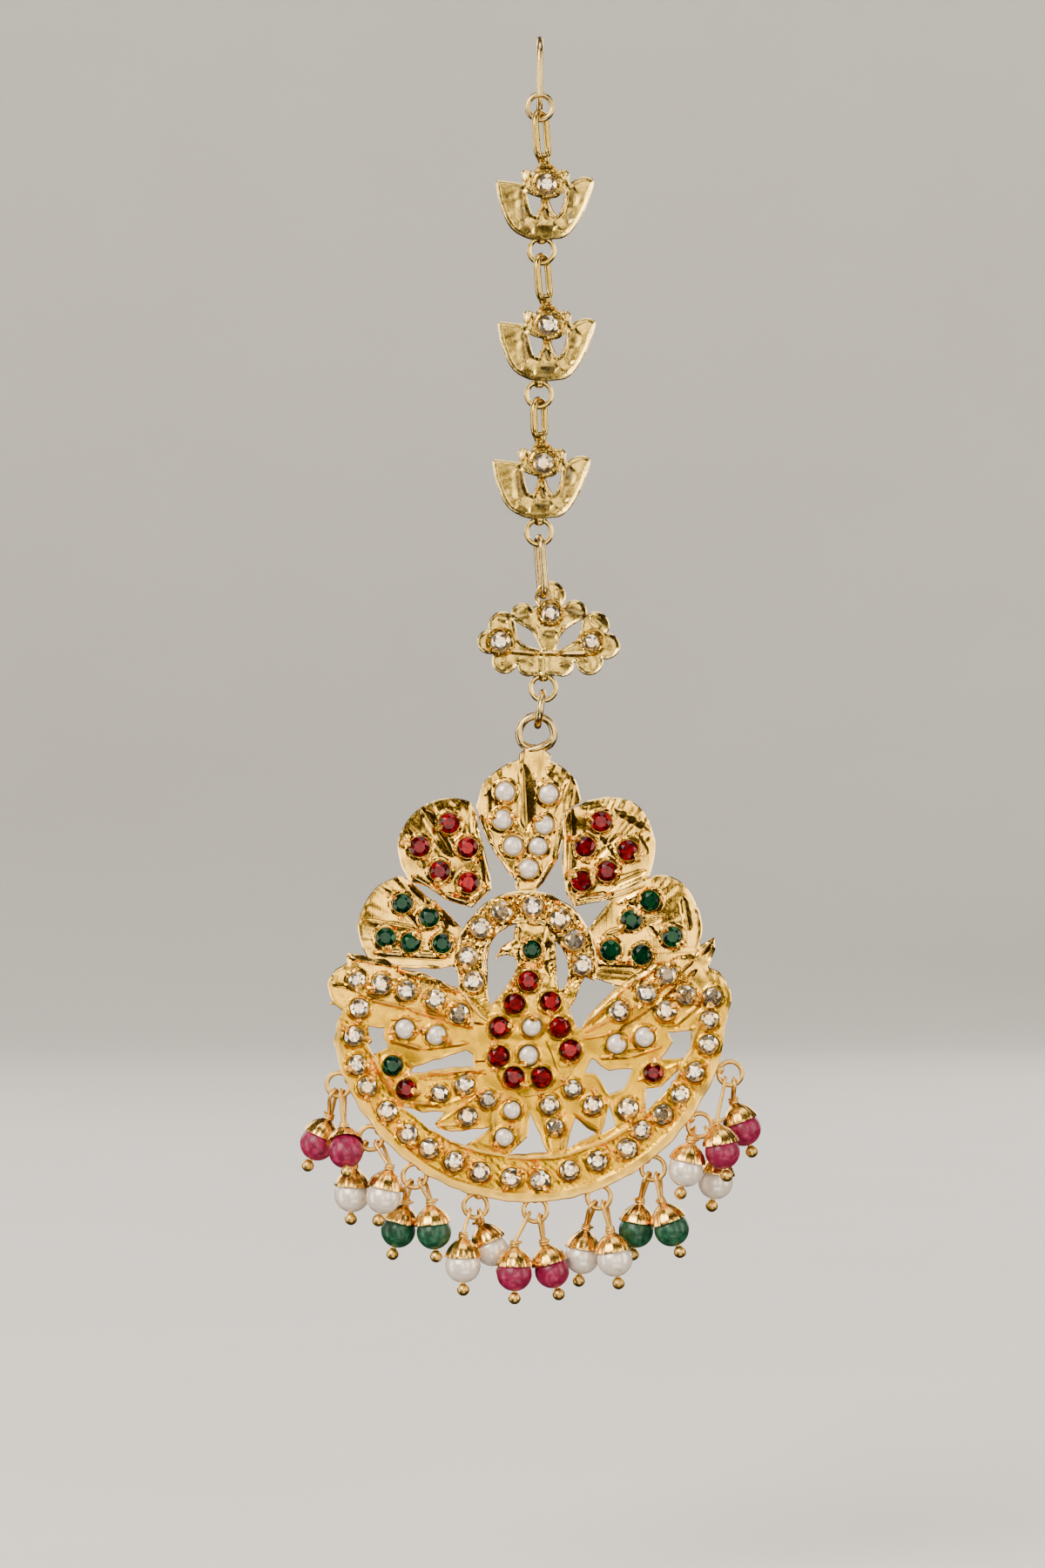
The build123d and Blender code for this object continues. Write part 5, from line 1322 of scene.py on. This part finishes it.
class TIKKA_OT_pendant_rings(bpy.types.Operator):
    """Bend the pendant's top ring and its nine drop rings, with their solder"""

    bl_idname = "tikka.pendant_rings"
    bl_label = "Pendant Rings"

    def execute(self, context):
        x, z, mean, wire = TOP_RING
        path = circle_path(PENDANT[0] + x, PENDANT[1] + z, mean, 64)
        sag = path[:, 2] - (PENDANT[1] + z)
        path[:, 2] += TOP_RING_SAG * np.clip(-sag - 1.2, 0, None)
        parts = [tube(path, FORWARD, wire, 14)]
        end = np.array(TOP_END) + (PENDANT[0] + x, PLATE_Y, PENDANT[1] + z)
        parts.append(tube(end, FORWARD, np.array(TOP_END_WIRE), 12, closed=False))
        for angle, reach in DROP_RINGS:
            across, down = sin(radians(angle)), -cos(radians(angle))
            centre = PENDANT + reach * np.array((across, down))
            parts.append(tube(circle_path(*centre, DROP_RING_MEAN), FORWARD, RING_WIRE, 10))
            foot = PENDANT + (reach - DROP_RING_MEAN) * np.array((across, down))
            parts.append(solder_blob(*foot, DROP_SOLDER, 0.38))
        shape = joined(parts)
        make_piece(
            "pendant_rings", shape, BODY, finish_of("wire_gold"), replaces=("pendant_plate",)
        )
        return {"FINISHED"}


# ---------------------------------------------------------------- the chain's plates


def chain_plate(name, adds, cuts, rows, stones, relief, x, z, step, extra, replaces):
    """A lotus or cloud plate with its wire parts, which have no painted shading."""
    shape, values = sheet(adds, cuts, rows, stones, step, relief, CHAIN_BACK, np.array((x, z)))
    whole = joined([shape, *extra])
    plain = np.zeros(len(whole[0]) - len(shape[0]))
    values = {key: np.concatenate((column, plain)) for key, column in values.items()}
    return make_piece(
        name, whole, "chain", finish_of("chain_gold"), values=values, replaces=replaces
    )


def link_path(low, high, half, turn):
    """A long closed link: two straight sides and two half circles, from low to high. Its plane is square
    to the plates and then turned about the link's length."""
    low, high = np.array(low, float), np.array(high, float)
    length = np.linalg.norm(high - low)
    along = (high - low) / length
    across = np.array((1.0, 0.0, 0.0)) - along * along[0]
    across /= np.linalg.norm(across)
    normal = across * cos(radians(turn)) + np.cross(along, across) * sin(radians(turn))
    side = np.cross(normal, along)
    bend = np.radians(np.linspace(-90, 90, 13))
    top = np.stack((length - half + half * np.cos(bend), half * np.sin(bend)), axis=1)
    foot = np.stack((half - half * np.cos(bend), -half * np.sin(bend)), axis=1)
    loop = divided(np.vstack((top, foot)), 0.4)
    return low + loop[:, :1] * along + loop[:, 1:] * side, normal


# Spacing of the relief's points on the lotus plates and on the cloud plate.
LOTUS_STEP = 0.11
CLOUD_STEP = 0.14


class TIKKA_OT_lotuses(bpy.types.Operator):
    """Press the three lotus plates and bend their rings and links"""

    bl_idname = "tikka.lotuses"
    bl_label = "Lotus Plates"

    def execute(self, context):
        cup = np.vstack((smooth_line(LOTUS_CUP), ((-2.8, 0.1), (-4.4, 0.3))))
        collar = ring_of((0, 0), 1.85, 40)
        stones = ((0, 0, LOTUS_STONE),)

        def relief(points, edge):
            away = np.hypot(*points.T)
            depth = 0.3 + ripples(points, 3.5, 0.08, SEED) + ripples(points, 0.9, 0.008, SEED)
            depth += 0.16 * ramp(np.abs(points[:, 0]), 2.0, 5.4)
            cone = ramp(away, 1.25, 1.5) * (1 - ramp(away, 1.62, 1.95))
            depth += 0.42 * cone + 0.12 * (away < 1.3)
            rolled = 1 - ramp(edge, 0.16, 0.5)
            # Painted highlights on the rolled rim and the stone's collar, and painted shading darker towards
            # the bottom.
            painted_shading = -0.6 * rolled - 0.5 * cone + 0.2 * ramp(-points[:, 1], 2.0, 5.5)
            return depth + 0.13 * rolled * (away > 1.9), painted_shading

        for name, (x, z, ring_x, ring_z, above_x, above_z) in LOTUSES.items():
            ring = tube(circle_path(x + ring_x, z + ring_z, RING_MEAN), FORWARD, RING_WIRE, 10)
            top = above_z - RING_MEAN + RING_WIRE + LINK_WIRE + LINK_SLACK
            low_end, high_end = (x - 0.4, PLATE_Y, z + 2.85), (above_x, PLATE_Y, top)
            path, normal = link_path(low_end, high_end, LINK_HALF, LINK_TURN)
            link = tube(path, normal, LINK_WIRE, 12)
            blob = solder_blob(x + ring_x, z + ring_z + RING_MEAN + 0.1, 0.8, 0.4)
            foot = solder_blob(x - 0.35, z + 2.9, 0.75, 0.5)
            chain_plate(
                name + "_relief", (cup, collar, *LOTUS_PETALS), LOTUS_GAPS, LOTUS_STROKES, stones, relief,
                x, z, LOTUS_STEP, (ring, link, blob, foot), (name,),
            )
        return {"FINISHED"}


class TIKKA_OT_cloud(bpy.types.Operator):
    """Press the cloud plate with its lobed edge, ledge and three cups"""

    bl_idname = "tikka.cloud"
    bl_label = "Cloud Plate"

    def execute(self, context):
        adds = [ring_of((x, z), radius, 40) for x, z, radius in CLOUD_LOBES]
        adds += [[(x, z) for x, z, _ in CLOUD_LOBES], CLOUD_FOOT]
        cuts = [ring_of(CLOUD_HOLE, CLOUD_HOLE_SIZE, 20)]
        for first, outer, last, inner in CLOUD_SLOTS:
            there, back = smooth_line((first, outer, last)), smooth_line((last, inner, first))
            cuts.append(np.vstack((there, back[1:-1])))
        stones = stones_of("cloud_crystals", FLAT_SHARE, CLOUD)

        def relief(points, edge):
            depth = 0.38 + ripples(points, 3.0, 0.05, SEED + 9) + ripples(points, 0.9, 0.008, SEED)
            rolled = 1 - ramp(edge, 0.16, 0.45)
            # Painted highlights on the rolled rim and on the cups round the stones.
            painted_shading = -0.6 * rolled
            for x, z, radius in stones:
                away = np.hypot(points[:, 0] - x, points[:, 1] - z) - radius
                cup = ramp(away, 0.12, 0.26) * (1 - ramp(away, 0.36, 0.6))
                depth = depth + 0.34 * cup + 0.2 * (away < 0.14)
                painted_shading = np.where(cup > 0.2, -0.5, painted_shading)
            return depth + 0.16 * rolled, painted_shading

        x, z = CLOUD[0] + CLOUD_RING[0], CLOUD[1] + CLOUD_RING[1]
        ring = tube(circle_path(x, z, RING_MEAN), FORWARD, RING_WIRE, 10)
        blob = solder_blob(x, z + RING_MEAN + 0.1, 0.8, 0.45)
        chain_plate(
            "cloud_relief", adds, cuts, CLOUD_STROKES, stones, relief, *CLOUD, CLOUD_STEP, (ring, blob),
            ("cloud_plate",),
        )
        return {"FINISHED"}


# ---------------------------------------------------------------- stones, pearls and grains


def faceted_stone():
    """A round cut stone of radius 1 that faces +z, with its girdle at 0: a table in sixteen wedges, eight
    star and eight kite facets, sixteen facets to the girdle, and a plain pavilion. Returns the shape and
    each face's kind, 0 for the table, 1 for the crown and 2 for the rest."""
    eighth = np.arange(8) * pi / 4
    sixteenth = np.arange(16) * pi / 8
    table = np.stack((0.56 * np.cos(eighth), 0.56 * np.sin(eighth), 0 * eighth + 0.36), axis=1)
    mid = eighth + pi / 8
    middle_table = (table + np.roll(table, -1, axis=0)) / 2
    star = np.stack((0.8 * np.cos(mid), 0.8 * np.sin(mid), 0 * mid + 0.2), axis=1)
    girdle = np.stack((np.cos(sixteenth), np.sin(sixteenth), 0 * sixteenth + 0.02), axis=1)
    under = girdle - (0, 0, 0.1)
    points = np.vstack(((0, 0, 0.36), table, middle_table, star, girdle, under, (0, 0, -0.5)))
    k = np.arange(8)
    after = (k + 1) % 8
    tab, mids, stars, rim = 1 + k, 9 + k, 17 + k, 25 + 2 * k
    next_tab, last_star = 1 + after, 17 + (k - 1) % 8
    next_rim, between = 25 + 2 * after, 26 + 2 * k
    centre = 0 * k
    top = np.vstack(
        (np.stack((centre, tab, mids, mids), axis=1), np.stack((centre, mids, next_tab, next_tab), axis=1))
    )
    crown = np.vstack(
        (
            np.stack((tab, stars, mids, mids), axis=1), np.stack((mids, stars, next_tab, next_tab), axis=1),
            np.stack((tab, last_star, rim, stars), axis=1),
            np.stack((stars, rim, between, between), axis=1),
            np.stack((stars, between, next_rim, next_rim), axis=1),
        )
    )
    j = np.arange(16)
    following = (j + 1) % 16
    rest = np.vstack(
        (
            np.stack((25 + j, 41 + j, 41 + following, 25 + following), axis=1),
            np.stack((41 + j, 0 * j + 57, 41 + following, 41 + following), axis=1),
        )
    )
    kinds = np.concatenate((np.zeros(len(top)), np.ones(len(crown)), np.full(len(rest), 2.0)))
    return solid(points, np.vstack((top, crown, rest))), kinds


def facing_frames(count, rng, tilt):
    """Right, up and out directions for stones that face the viewer, each turned at random and tilted a
    little."""
    turn = rng.uniform(0, 2 * pi, count)
    lean = rng.uniform(-tilt, tilt, (count, 2))
    out = np.stack((lean[:, 0], -np.ones(count), lean[:, 1]), axis=1)
    out /= np.linalg.norm(out, axis=1)[:, None]
    right = np.stack((np.cos(turn), 0 * turn, np.sin(turn)), axis=1)
    right -= out * (right * out).sum(axis=1)[:, None]
    right /= np.linalg.norm(right, axis=1)[:, None]
    return right, np.cross(out, right), out


# How far in front of the plate's middle the stones' girdles and the half pearls' middles are, and how
# much of its radius a half pearl stands out from there.
GIRDLE_DEPTH = 0.74
PEARL_DEPTH = 0.55
PEARL_RISE = 0.62
# How far in front of the plate's middle the holding grains are, from the least to the most.
GRAIN_DEPTHS = (0.88, 1.05)


def stone_piece(name, rows, body, slot, seed, replaces):
    """Cut stones of one node as one piece, with a painted sparkle for every facet: how much painted light it
    shows.
    """
    shape, kinds = faceted_stone()
    rng = np.random.default_rng(seed)
    x, z, radius = np.array(rows).T
    right, up, out = facing_frames(len(rows), rng, 0.07)
    centres = np.stack((x + PENDANT[0], PLATE_Y - GIRDLE_DEPTH + 0 * x, z + PENDANT[1]), axis=1)
    size = radius[:, None]
    whole = copies(shape, centres, right * size, up * size, out * size)
    sparks = rng.random((len(rows), len(kinds)))
    if slot == "clear_crystal":
        sparks = np.where(kinds == 0, 0.3 + 0.7 * sparks, sparks)
    else:
        low = rng.uniform(0.22, 0.5, (len(rows), 1))
        sparks = np.where(kinds == 0, low + 0.1 * sparks, 0.8 * sparks * sparks)
    return make_piece(
        name, whole, body, finish_of(slot), crease=1, face_values={"spark": sparks.ravel()},
        replaces=replaces,
    )


class TIKKA_OT_cut_stones(bpy.types.Operator):
    """Set the cut stones of the pendant, the lotuses and the cloud"""

    bl_idname = "tikka.cut_stones"
    bl_label = "Cut Stones"

    def execute(self, context):
        seed = SEED
        for slot, nodes in CUT_NODES.items():
            for node in nodes:
                seed += 1
                stone_piece(node + "_cut", CUT_STONES[node], BODY, slot, seed, (node,))
        nodes = [name + "_crystal" for name in LOTUSES] + ["cloud_crystals"]
        for node in nodes:
            seed += 1
            rows = stones_of(node, FLAT_SHARE)
            stone_piece(node + "_cut", rows, "chain", "clear_crystal", seed, (node,))
        return {"FINISHED"}


def ball(columns=28, rows=16, dimple=0.0):
    """A sphere of radius 1. With a dimple, its poles run in to a drilling of that radius."""
    latitude = np.radians(np.linspace(-90 + 90 / rows, 90 - 90 / rows, rows))
    radius, height = np.cos(latitude), np.sin(latitude)
    if dimple:
        edge = degrees(acos(dimple))
        latitude = np.radians(np.linspace(-edge, edge, rows))
        radius, height = np.cos(latitude), np.sin(latitude)
        radius = np.concatenate(((dimple * 0.8,), radius, (dimple * 0.8,)))
        height = np.concatenate((height[:1] + 0.15, height, height[-1:] - 0.15))
    return turned(np.stack((radius, height), axis=1), columns)


class TIKKA_OT_half_pearls(bpy.types.Operator):
    """Set the half pearls, each a little out of round"""

    bl_idname = "tikka.half_pearls"
    bl_label = "Half Pearls"

    def execute(self, context):
        for number, (node, rows) in enumerate(HALF_PEARLS.items()):
            rng = np.random.default_rng(SEED + 40 + number)
            x, z, radius = np.array(rows).T
            right, up, out = facing_frames(len(rows), rng, 0.05)
            centres = np.stack((x + PENDANT[0], PLATE_Y - PEARL_DEPTH + 0 * x, z + PENDANT[1]), axis=1)
            wide = (radius * rng.uniform(0.97, 1.0, len(rows)))[:, None]
            tall = (radius * rng.uniform(0.92, 1.0, len(rows)))[:, None]
            round_pearl = ball()
            deep = (PEARL_RISE * radius)[:, None]
            shape = copies(round_pearl, centres, right * wide, up * tall, out * deep)
            # Painted shade on the pearl's side where it goes down into its seat.
            painted_flank_shade = np.tile(1 - ramp(round_pearl[0][:, 2], 0.2, 0.8), len(rows))
            make_piece(
                node + "_round", shape, BODY, finish_of("seed_pearl"), crease=60,
                values={"painted_flank_shade": painted_flank_shade}, replaces=(node,),
            )
        return {"FINISHED"}


class TIKKA_OT_grains(bpy.types.Operator):
    """Raise the small grains and burrs of gold that hold each stone"""

    bl_idname = "tikka.grains"
    bl_label = "Holding Grains"

    def execute(self, context):
        rng = np.random.default_rng(SEED + 60)
        x, z, radius = np.array(ALL_STONES).T
        spots, lumps = 2, 3
        turn = rng.uniform(0, 2 * pi, (len(x), 1)) + np.arange(spots) * pi
        turn = turn + rng.uniform(-0.7, 0.7, (len(x), spots))
        keep = rng.random((len(x), spots, 1)) < 0.7
        away = radius[:, None] + rng.uniform(0.05, 0.35, (len(x), spots))
        places = np.stack(
            (
                PENDANT[0] + x[:, None] + away * np.cos(turn),
                PLATE_Y - rng.uniform(*GRAIN_DEPTHS, away.shape),
                PENDANT[1] + z[:, None] + away * np.sin(turn),
            ),
            axis=2,
        )
        places = places[:, :, None] + rng.uniform(-1, 1, (len(x), spots, lumps, 3)) * (0.3, 0.12, 0.3)
        places = places[np.broadcast_to(keep, places.shape[:3])]
        size = sizes().grain * rng.uniform(0.5, 1.1, (len(places), 1))
        right, up, out = facing_frames(len(places), rng, 0.5)
        long = size * rng.uniform(0.7, 1.4, (len(places), 1))
        grains = copies(ball(7, 4), places, right * long, up * size, out * 0.8 * size)
        shape = (grains[0] + 0.035 * rng.standard_normal(grains[0].shape), grains[1])
        # Random values of the painted shading: each grain varies at random between its dark and pale colours.
        make_piece(
            "holding_grains", shape, BODY, finish_of("grain_gold"), crease=25,
            values={"painted_shading": rng.uniform(-0.6, 0.2, len(shape[0]))},
        )
        return {"FINISHED"}


# ---------------------------------------------------------------- drops


def drops():
    """Each drop's bead node, its centre, and the direction up its headpin: from the centre of the bead to
    the middle of the cap nearest to it."""
    caps = np.array([mean for _, _, mean in loose_solids("bead_caps")])
    found = []
    for node in sorted(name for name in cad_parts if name.startswith("bead_") and name != "bead_caps"):
        low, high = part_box(node)
        centre = np.array((low + high) / 2) / MM
        gaps = caps - centre
        nearest_cap = gaps[np.argmin(np.linalg.norm(gaps, axis=1))]
        found.append((node, centre, nearest_cap / np.linalg.norm(nearest_cap)))
    return found


def pin_frame(up, turn):
    """Two directions square to a headpin, turned about it."""
    side = np.cross(up, FORWARD)
    side /= np.linalg.norm(side)
    other = np.cross(up, side)
    return side * cos(turn) + other * sin(turn), other * cos(turn) - side * sin(turn)


# Radius of a bead and of the drilling through it, and the finish of the beads on the lower rings that
# carry no pearls.
BEAD = 2.03
PIN_BORE = 0.34
BEAD_SLOTS = {"1": "pink_bead", "5": "pink_bead", "9": "pink_bead", "3": "green_bead", "7": "green_bead"}


class TIKKA_OT_round_beads(bpy.types.Operator):
    """Turn the drilled beads of the drops"""

    bl_idname = "tikka.round_beads"
    bl_label = "Round Beads"

    def execute(self, context):
        rng = np.random.default_rng(SEED + 80)
        for node, centre, up in drops():
            slot = BEAD_SLOTS.get(node[5], "pearl_bead")
            right, other = pin_frame(up, rng.uniform(0, 2 * pi))
            wide, deep = BEAD * rng.uniform(0.97, 1.0, 2)
            points, faces = ball(48, 30, dimple=PIN_BORE / BEAD)
            swell = 1 + 0.012 * np.sin(3 * np.arctan2(points[:, 1], points[:, 0]) + rng.uniform(0, 6))
            points = points * np.stack((swell, swell, np.ones(len(points))), axis=1)
            shape = copies(
                (points, faces), centre[None], wide * right[None], deep * other[None], BEAD * 0.98 * up[None]
            )
            shape = solid(*shape)
            # Painted shade towards both drillings, where the bead turns in under its cap and below.
            painted_flank_shade = 0.7 * ramp(np.abs(points[:, 2]), 0.55, 1.0)
            make_piece(
                "round_" + node, shape, BODY, finish_of(slot), crease=60, values={"painted_flank_shade": painted_flank_shade},
                replaces=(node,),
            )
        return {"FINISHED"}


def fluted_cap():
    """A thin bead cap: a cone whose flutes, a cosine round it, deepen to a scalloped rim, with an inner
    wall and a small collar at its top."""
    sides, flutes = 72, 12
    turn = np.arange(sides) * 2 * pi / sides
    wave = np.cos(flutes * turn)
    profile = np.array(
        (
            (0.36, 2.98, 0.0), (0.62, 3.02, 0.0), (0.76, 2.9, 0.1), (1.06, 2.68, 0.5), (1.44, 2.34, 0.9),
            (1.76, 1.92, 1.0), (1.97, 1.48, 1.0), (2.1, 1.1, 1.0), (2.1, 0.98, 0.8), (2.04, 0.98, 0.8),
            (1.88, 1.44, 0.8), (1.66, 1.84, 0.8), (1.34, 2.22, 0.6), (0.9, 2.54, 0.2), (0.36, 2.72, 0.0),
        )
    )
    radius, height, depth = (column[:, None] for column in profile.T)
    out = radius * (1 + 0.02 * depth * wave)
    lift = height + 0.06 * np.maximum(depth - 0.9, 0) * wave
    grid = np.stack((out * np.cos(turn), out * np.sin(turn), lift + 0 * turn), axis=2)
    # Painted shading: painted shade in the flutes' valleys and painted highlights on their crests.
    painted_shading = np.broadcast_to(0.3 * np.maximum(-wave, 0) - 0.4 * np.maximum(wave, 0), out.shape) * (depth > 0)
    shape = solid(grid.reshape(-1, 3), grid_faces(len(profile), sides, wrap_rows=True, wrap_columns=True))
    return shape, painted_shading.ravel()


class TIKKA_OT_fluted_caps(bpy.types.Operator):
    """Seat a fluted cap on every bead"""

    bl_idname = "tikka.fluted_caps"
    bl_label = "Fluted Caps"

    def execute(self, context):
        shape, painted_shading = fluted_cap()
        rng = np.random.default_rng(SEED + 90)
        places = drops()
        frames = [pin_frame(up, rng.uniform(0, 2 * pi)) for _, _, up in places]
        whole = copies(
            shape, np.array([centre for _, centre, _ in places]), np.array([right for right, _ in frames]),
            np.array([other for _, other in frames]), np.array([up for _, _, up in places]),
        )
        make_piece(
            "fluted_caps", solid(*whole), BODY, finish_of("cap_gold"), crease=40,
            values={"painted_shading": np.tile(painted_shading, len(places))}, replaces=("bead_caps",),
        )
        return {"FINISHED"}


# The wire above a cap: its turns, the radius of its winding, the radius of the wire, and the height of
# its lowest turn above the bead's centre.
WRAP_TURNS = 1.8
WRAP_RADIUS = 0.42
WRAP_WIRE = 0.17
WRAP_FOOT = 3.1


class TIKKA_OT_pin_wraps(bpy.types.Operator):
    """Wind the wire above each cap and leave its cut end standing out"""

    bl_idname = "tikka.pin_wraps"
    bl_label = "Wrapped Wire"

    def execute(self, context):
        rng = np.random.default_rng(SEED + 100)
        parts = []
        turns = np.linspace(0, 1, 46)
        for _, centre, up in drops():
            right, other = pin_frame(up, rng.uniform(0, 2 * pi))
            angle = turns * 2 * pi * WRAP_TURNS
            radius = WRAP_RADIUS + 0.4 * ramp(turns, 0.92, 1.0)
            rise = WRAP_FOOT + 0.5 * turns + 0.08 * rng.uniform(-1, 1) * np.sin(angle)
            path = centre + (
                (radius * np.cos(angle))[:, None] * right + (radius * np.sin(angle))[:, None] * other
                + rise[:, None] * up
            )
            parts.append(tube(path, up, WRAP_WIRE, 8, closed=False))
        make_piece("pin_wraps", joined(parts), BODY, finish_of("wire_gold"), crease=50)
        return {"FINISHED"}


# ---------------------------------------------------------------- CAD nodes, stage and panel


class TIKKA_OT_frame_finishes(bpy.types.Operator):
    """Give the hook, the links and the headpins their finish"""

    bl_idname = "tikka.frame_finishes"
    bl_label = "Frame Finishes"

    def execute(self, context):
        for name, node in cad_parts.items():
            if node.hide_render:
                continue
            if not node.material_slots:
                raise RuntimeError("no material slot on " + name)
            for slot in node.material_slots:
                slot.material = finish_of("wire_gold")
        return {"FINISHED"}


def look_at(thing, target):
    """Turn a lamp or the camera towards a point."""
    thing.rotation_euler = (Vector(target) - thing.location).to_track_quat("-Z", "Y").to_euler()


# Each soft light: its azimuth from the front and elevation in degrees, width and height in metres,
# brightness and tint.
SOFTBOXES = (
    ("key", -36, 30, 0.6, 0.7, 12.5, (1.0, 0.95, 0.86)),
    ("front", -3, -2, 0.36, 0.6, 4.2, (1.0, 0.94, 0.84)),
    ("front_right", 27, 6, 0.28, 0.8, 6.5, (1.0, 0.94, 0.84)),
    ("low", 15, -44, 0.8, 0.35, 4.0, (1.0, 0.92, 0.8)),
    ("right", 72, 8, 0.4, 1.1, 6.5, (1.0, 0.92, 0.8)),
    ("left", -82, -5, 0.35, 1.1, 6.0, (1.0, 0.96, 0.9)),
    ("top", 10, 78, 0.9, 0.5, 3.5, (1.0, 0.97, 0.92)),
    ("behind", 172, 7, 0.3, 0.4, 1.9, (1.0, 0.93, 0.82)),
    ("behind_left", -140, 25, 0.6, 0.8, 4.0, (1.0, 0.96, 0.9)),
    ("behind_right", 150, 20, 0.5, 0.9, 4.0, (1.0, 0.96, 0.9)),
)
LAMP_DISTANCE = 1.15
# What the metal mirrors between the soft lights, and what the camera sees past the floor.
STUDIO_DARK = (0.025, 0.02, 0.016)
STUDIO_PALE = (0.75, 0.73, 0.7)
# The floor is a round bowl, in metres: flat to the first radius, bent upwards with the second, and then
# a wall up to the height.
FLOOR_FLAT = 1.2
FLOOR_BEND = 0.6
FLOOR_TOP = 2.2
FLOOR_SIDES = 96
# Width of the camera's sensor in millimetres, and x and z in metres of the point that it looks at.
SENSOR = 36.0
AIM = (-0.002, -0.0854)


class TIKKA_OT_stage(bpy.types.Operator):
    """Lay the floor, hang the soft lights and place the camera"""

    bl_idname = "tikka.stage"
    bl_label = "Studio"

    def execute(self, context):
        scene = bpy.context.scene
        low, high = CAD_BOX
        floor_z = low[2] - sizes().floor_drop
        bend = np.radians(np.linspace(0, 90, 13))
        profile = np.vstack(
            (
                ((0.3, 0), (0.6, 0), (1.0, 0)),
                (FLOOR_FLAT, FLOOR_BEND) + FLOOR_BEND * np.stack((np.sin(bend), -np.cos(bend)), axis=1),
                ((FLOOR_FLAT + FLOOR_BEND, 2 * FLOOR_BEND), (FLOOR_FLAT + FLOOR_BEND, FLOOR_TOP)),
            )
        )
        out, rise = (column[:, None] for column in profile.T)
        turn = np.arange(FLOOR_SIDES) * 2 * pi / FLOOR_SIDES
        grid = np.stack((out * np.cos(turn), out * np.sin(turn), floor_z + rise + 0 * turn), axis=2)
        mesh = bpy.data.meshes.new("floor")
        faces = grid_faces(len(profile), FLOOR_SIDES, wrap_columns=True).tolist()
        faces.append(list(range(FLOOR_SIDES)))
        mesh.from_pydata(grid.reshape(-1, 3).tolist(), [], faces)
        mesh.polygons.foreach_set("use_smooth", np.ones(len(faces), bool))
        paper = Finish("floor_paper", Roughness=0.9, Specular_IOR_Level=0.2)
        paper.set(
            Base_Color=paper.blend(paper.noise(60.0, 3.0), (0.8, 0.78, 0.75), (0.84, 0.82, 0.79)),
            Normal=paper.bump(paper.noise(0.8, 3.0), 0.02),
        )
        mesh.materials.append(paper.material)
        floor = bpy.data.objects.new("floor", mesh)
        scene.collection.objects.link(floor)
        floor.visible_glossy = False

        centre = np.array((0.0, PLATE_Y * MM, (low[2] + high[2]) / 2))
        for name, azimuth, elevation, wide, tall, radiance, tint in SOFTBOXES:
            light = bpy.data.lights.new(name, "AREA")
            light.shape = "RECTANGLE"
            light.size = wide
            light.size_y = tall
            light.energy = radiance * pi * wide * tall
            light.color = tint
            lamp = bpy.data.objects.new(name, light)
            scene.collection.objects.link(lamp)
            level, side = cos(radians(elevation)), radians(azimuth)
            way = np.array((level * sin(side), -level * cos(side), sin(radians(elevation))))
            lamp.location = centre + LAMP_DISTANCE * way
            lamp.visible_camera = False
            lamp.visible_diffuse = name != "behind"
            look_at(lamp, centre)

        world = bpy.data.worlds.new("studio")
        scene.world = world
        world.use_nodes = True
        tree = world.node_tree
        background = tree.nodes["Background"]
        seen = tree.nodes.new("ShaderNodeLightPath").outputs["Is Camera Ray"]
        mix = tree.nodes.new("ShaderNodeMix")
        mix.data_type = "RGBA"
        tree.links.new(seen, mix.inputs[0])
        mix.inputs[6].default_value = (*STUDIO_DARK, 1.0)
        mix.inputs[7].default_value = (*STUDIO_PALE, 1.0)
        tree.links.new(mix.outputs[2], background.inputs["Color"])

        lens = bpy.data.cameras.new("camera")
        lens.lens = sizes().lens
        lens.sensor_width = SENSOR
        lens.clip_start = 0.01
        camera = bpy.data.objects.new("camera", lens)
        scene.collection.objects.link(camera)
        away = sizes().view_height * lens.lens / lens.sensor_width
        camera.location = (AIM[0], PLATE_Y * MM - away, AIM[1])
        look_at(camera, (AIM[0], PLATE_Y * MM, AIM[1]))
        scene.camera = camera
        return {"FINISHED"}


class TIKKA_PT_dresser(bpy.types.Panel):
    """Sizes, colours and the steps that dress the jewel"""

    bl_idname = "TIKKA_PT_dresser"
    bl_label = "Maang Tikka"
    bl_space_type = "VIEW_3D"
    bl_region_type = "UI"
    bl_category = "Tikka"

    def draw(self, context):
        for group in (context.scene.tikka_sizes, context.scene.tikka_colours):
            box = self.layout.box()
            for name in group.bl_rna.properties.keys():
                if name not in ("rna_type", "name"):
                    box.prop(group, name)
        for step in STEPS:
            self.layout.operator(step.bl_idname)


STEPS = (
    TIKKA_OT_feather_lobes,
    TIKKA_OT_arch,
    TIKKA_OT_bird,
    TIKKA_OT_wings,
    TIKKA_OT_pendant_rings,
    TIKKA_OT_lotuses,
    TIKKA_OT_cloud,
    TIKKA_OT_cut_stones,
    TIKKA_OT_half_pearls,
    TIKKA_OT_grains,
    TIKKA_OT_round_beads,
    TIKKA_OT_fluted_caps,
    TIKKA_OT_pin_wraps,
    TIKKA_OT_frame_finishes,
    TIKKA_OT_stage,
)
CLASSES = (TikkaColours, TikkaSizes, *STEPS, TIKKA_PT_dresser)


def register():
    for kind in CLASSES:
        bpy.utils.register_class(kind)
    bpy.types.Scene.tikka_colours = bpy.props.PointerProperty(type=TikkaColours)
    bpy.types.Scene.tikka_sizes = bpy.props.PointerProperty(type=TikkaSizes)


def unregister():
    del bpy.types.Scene.tikka_sizes
    del bpy.types.Scene.tikka_colours
    for kind in reversed(CLASSES):
        bpy.utils.unregister_class(kind)


def main():
    register()
    for step in STEPS:
        group, action = step.bl_idname.split(".")
        getattr(getattr(bpy.ops, group), action)()


if __name__ == "__main__":
    main()
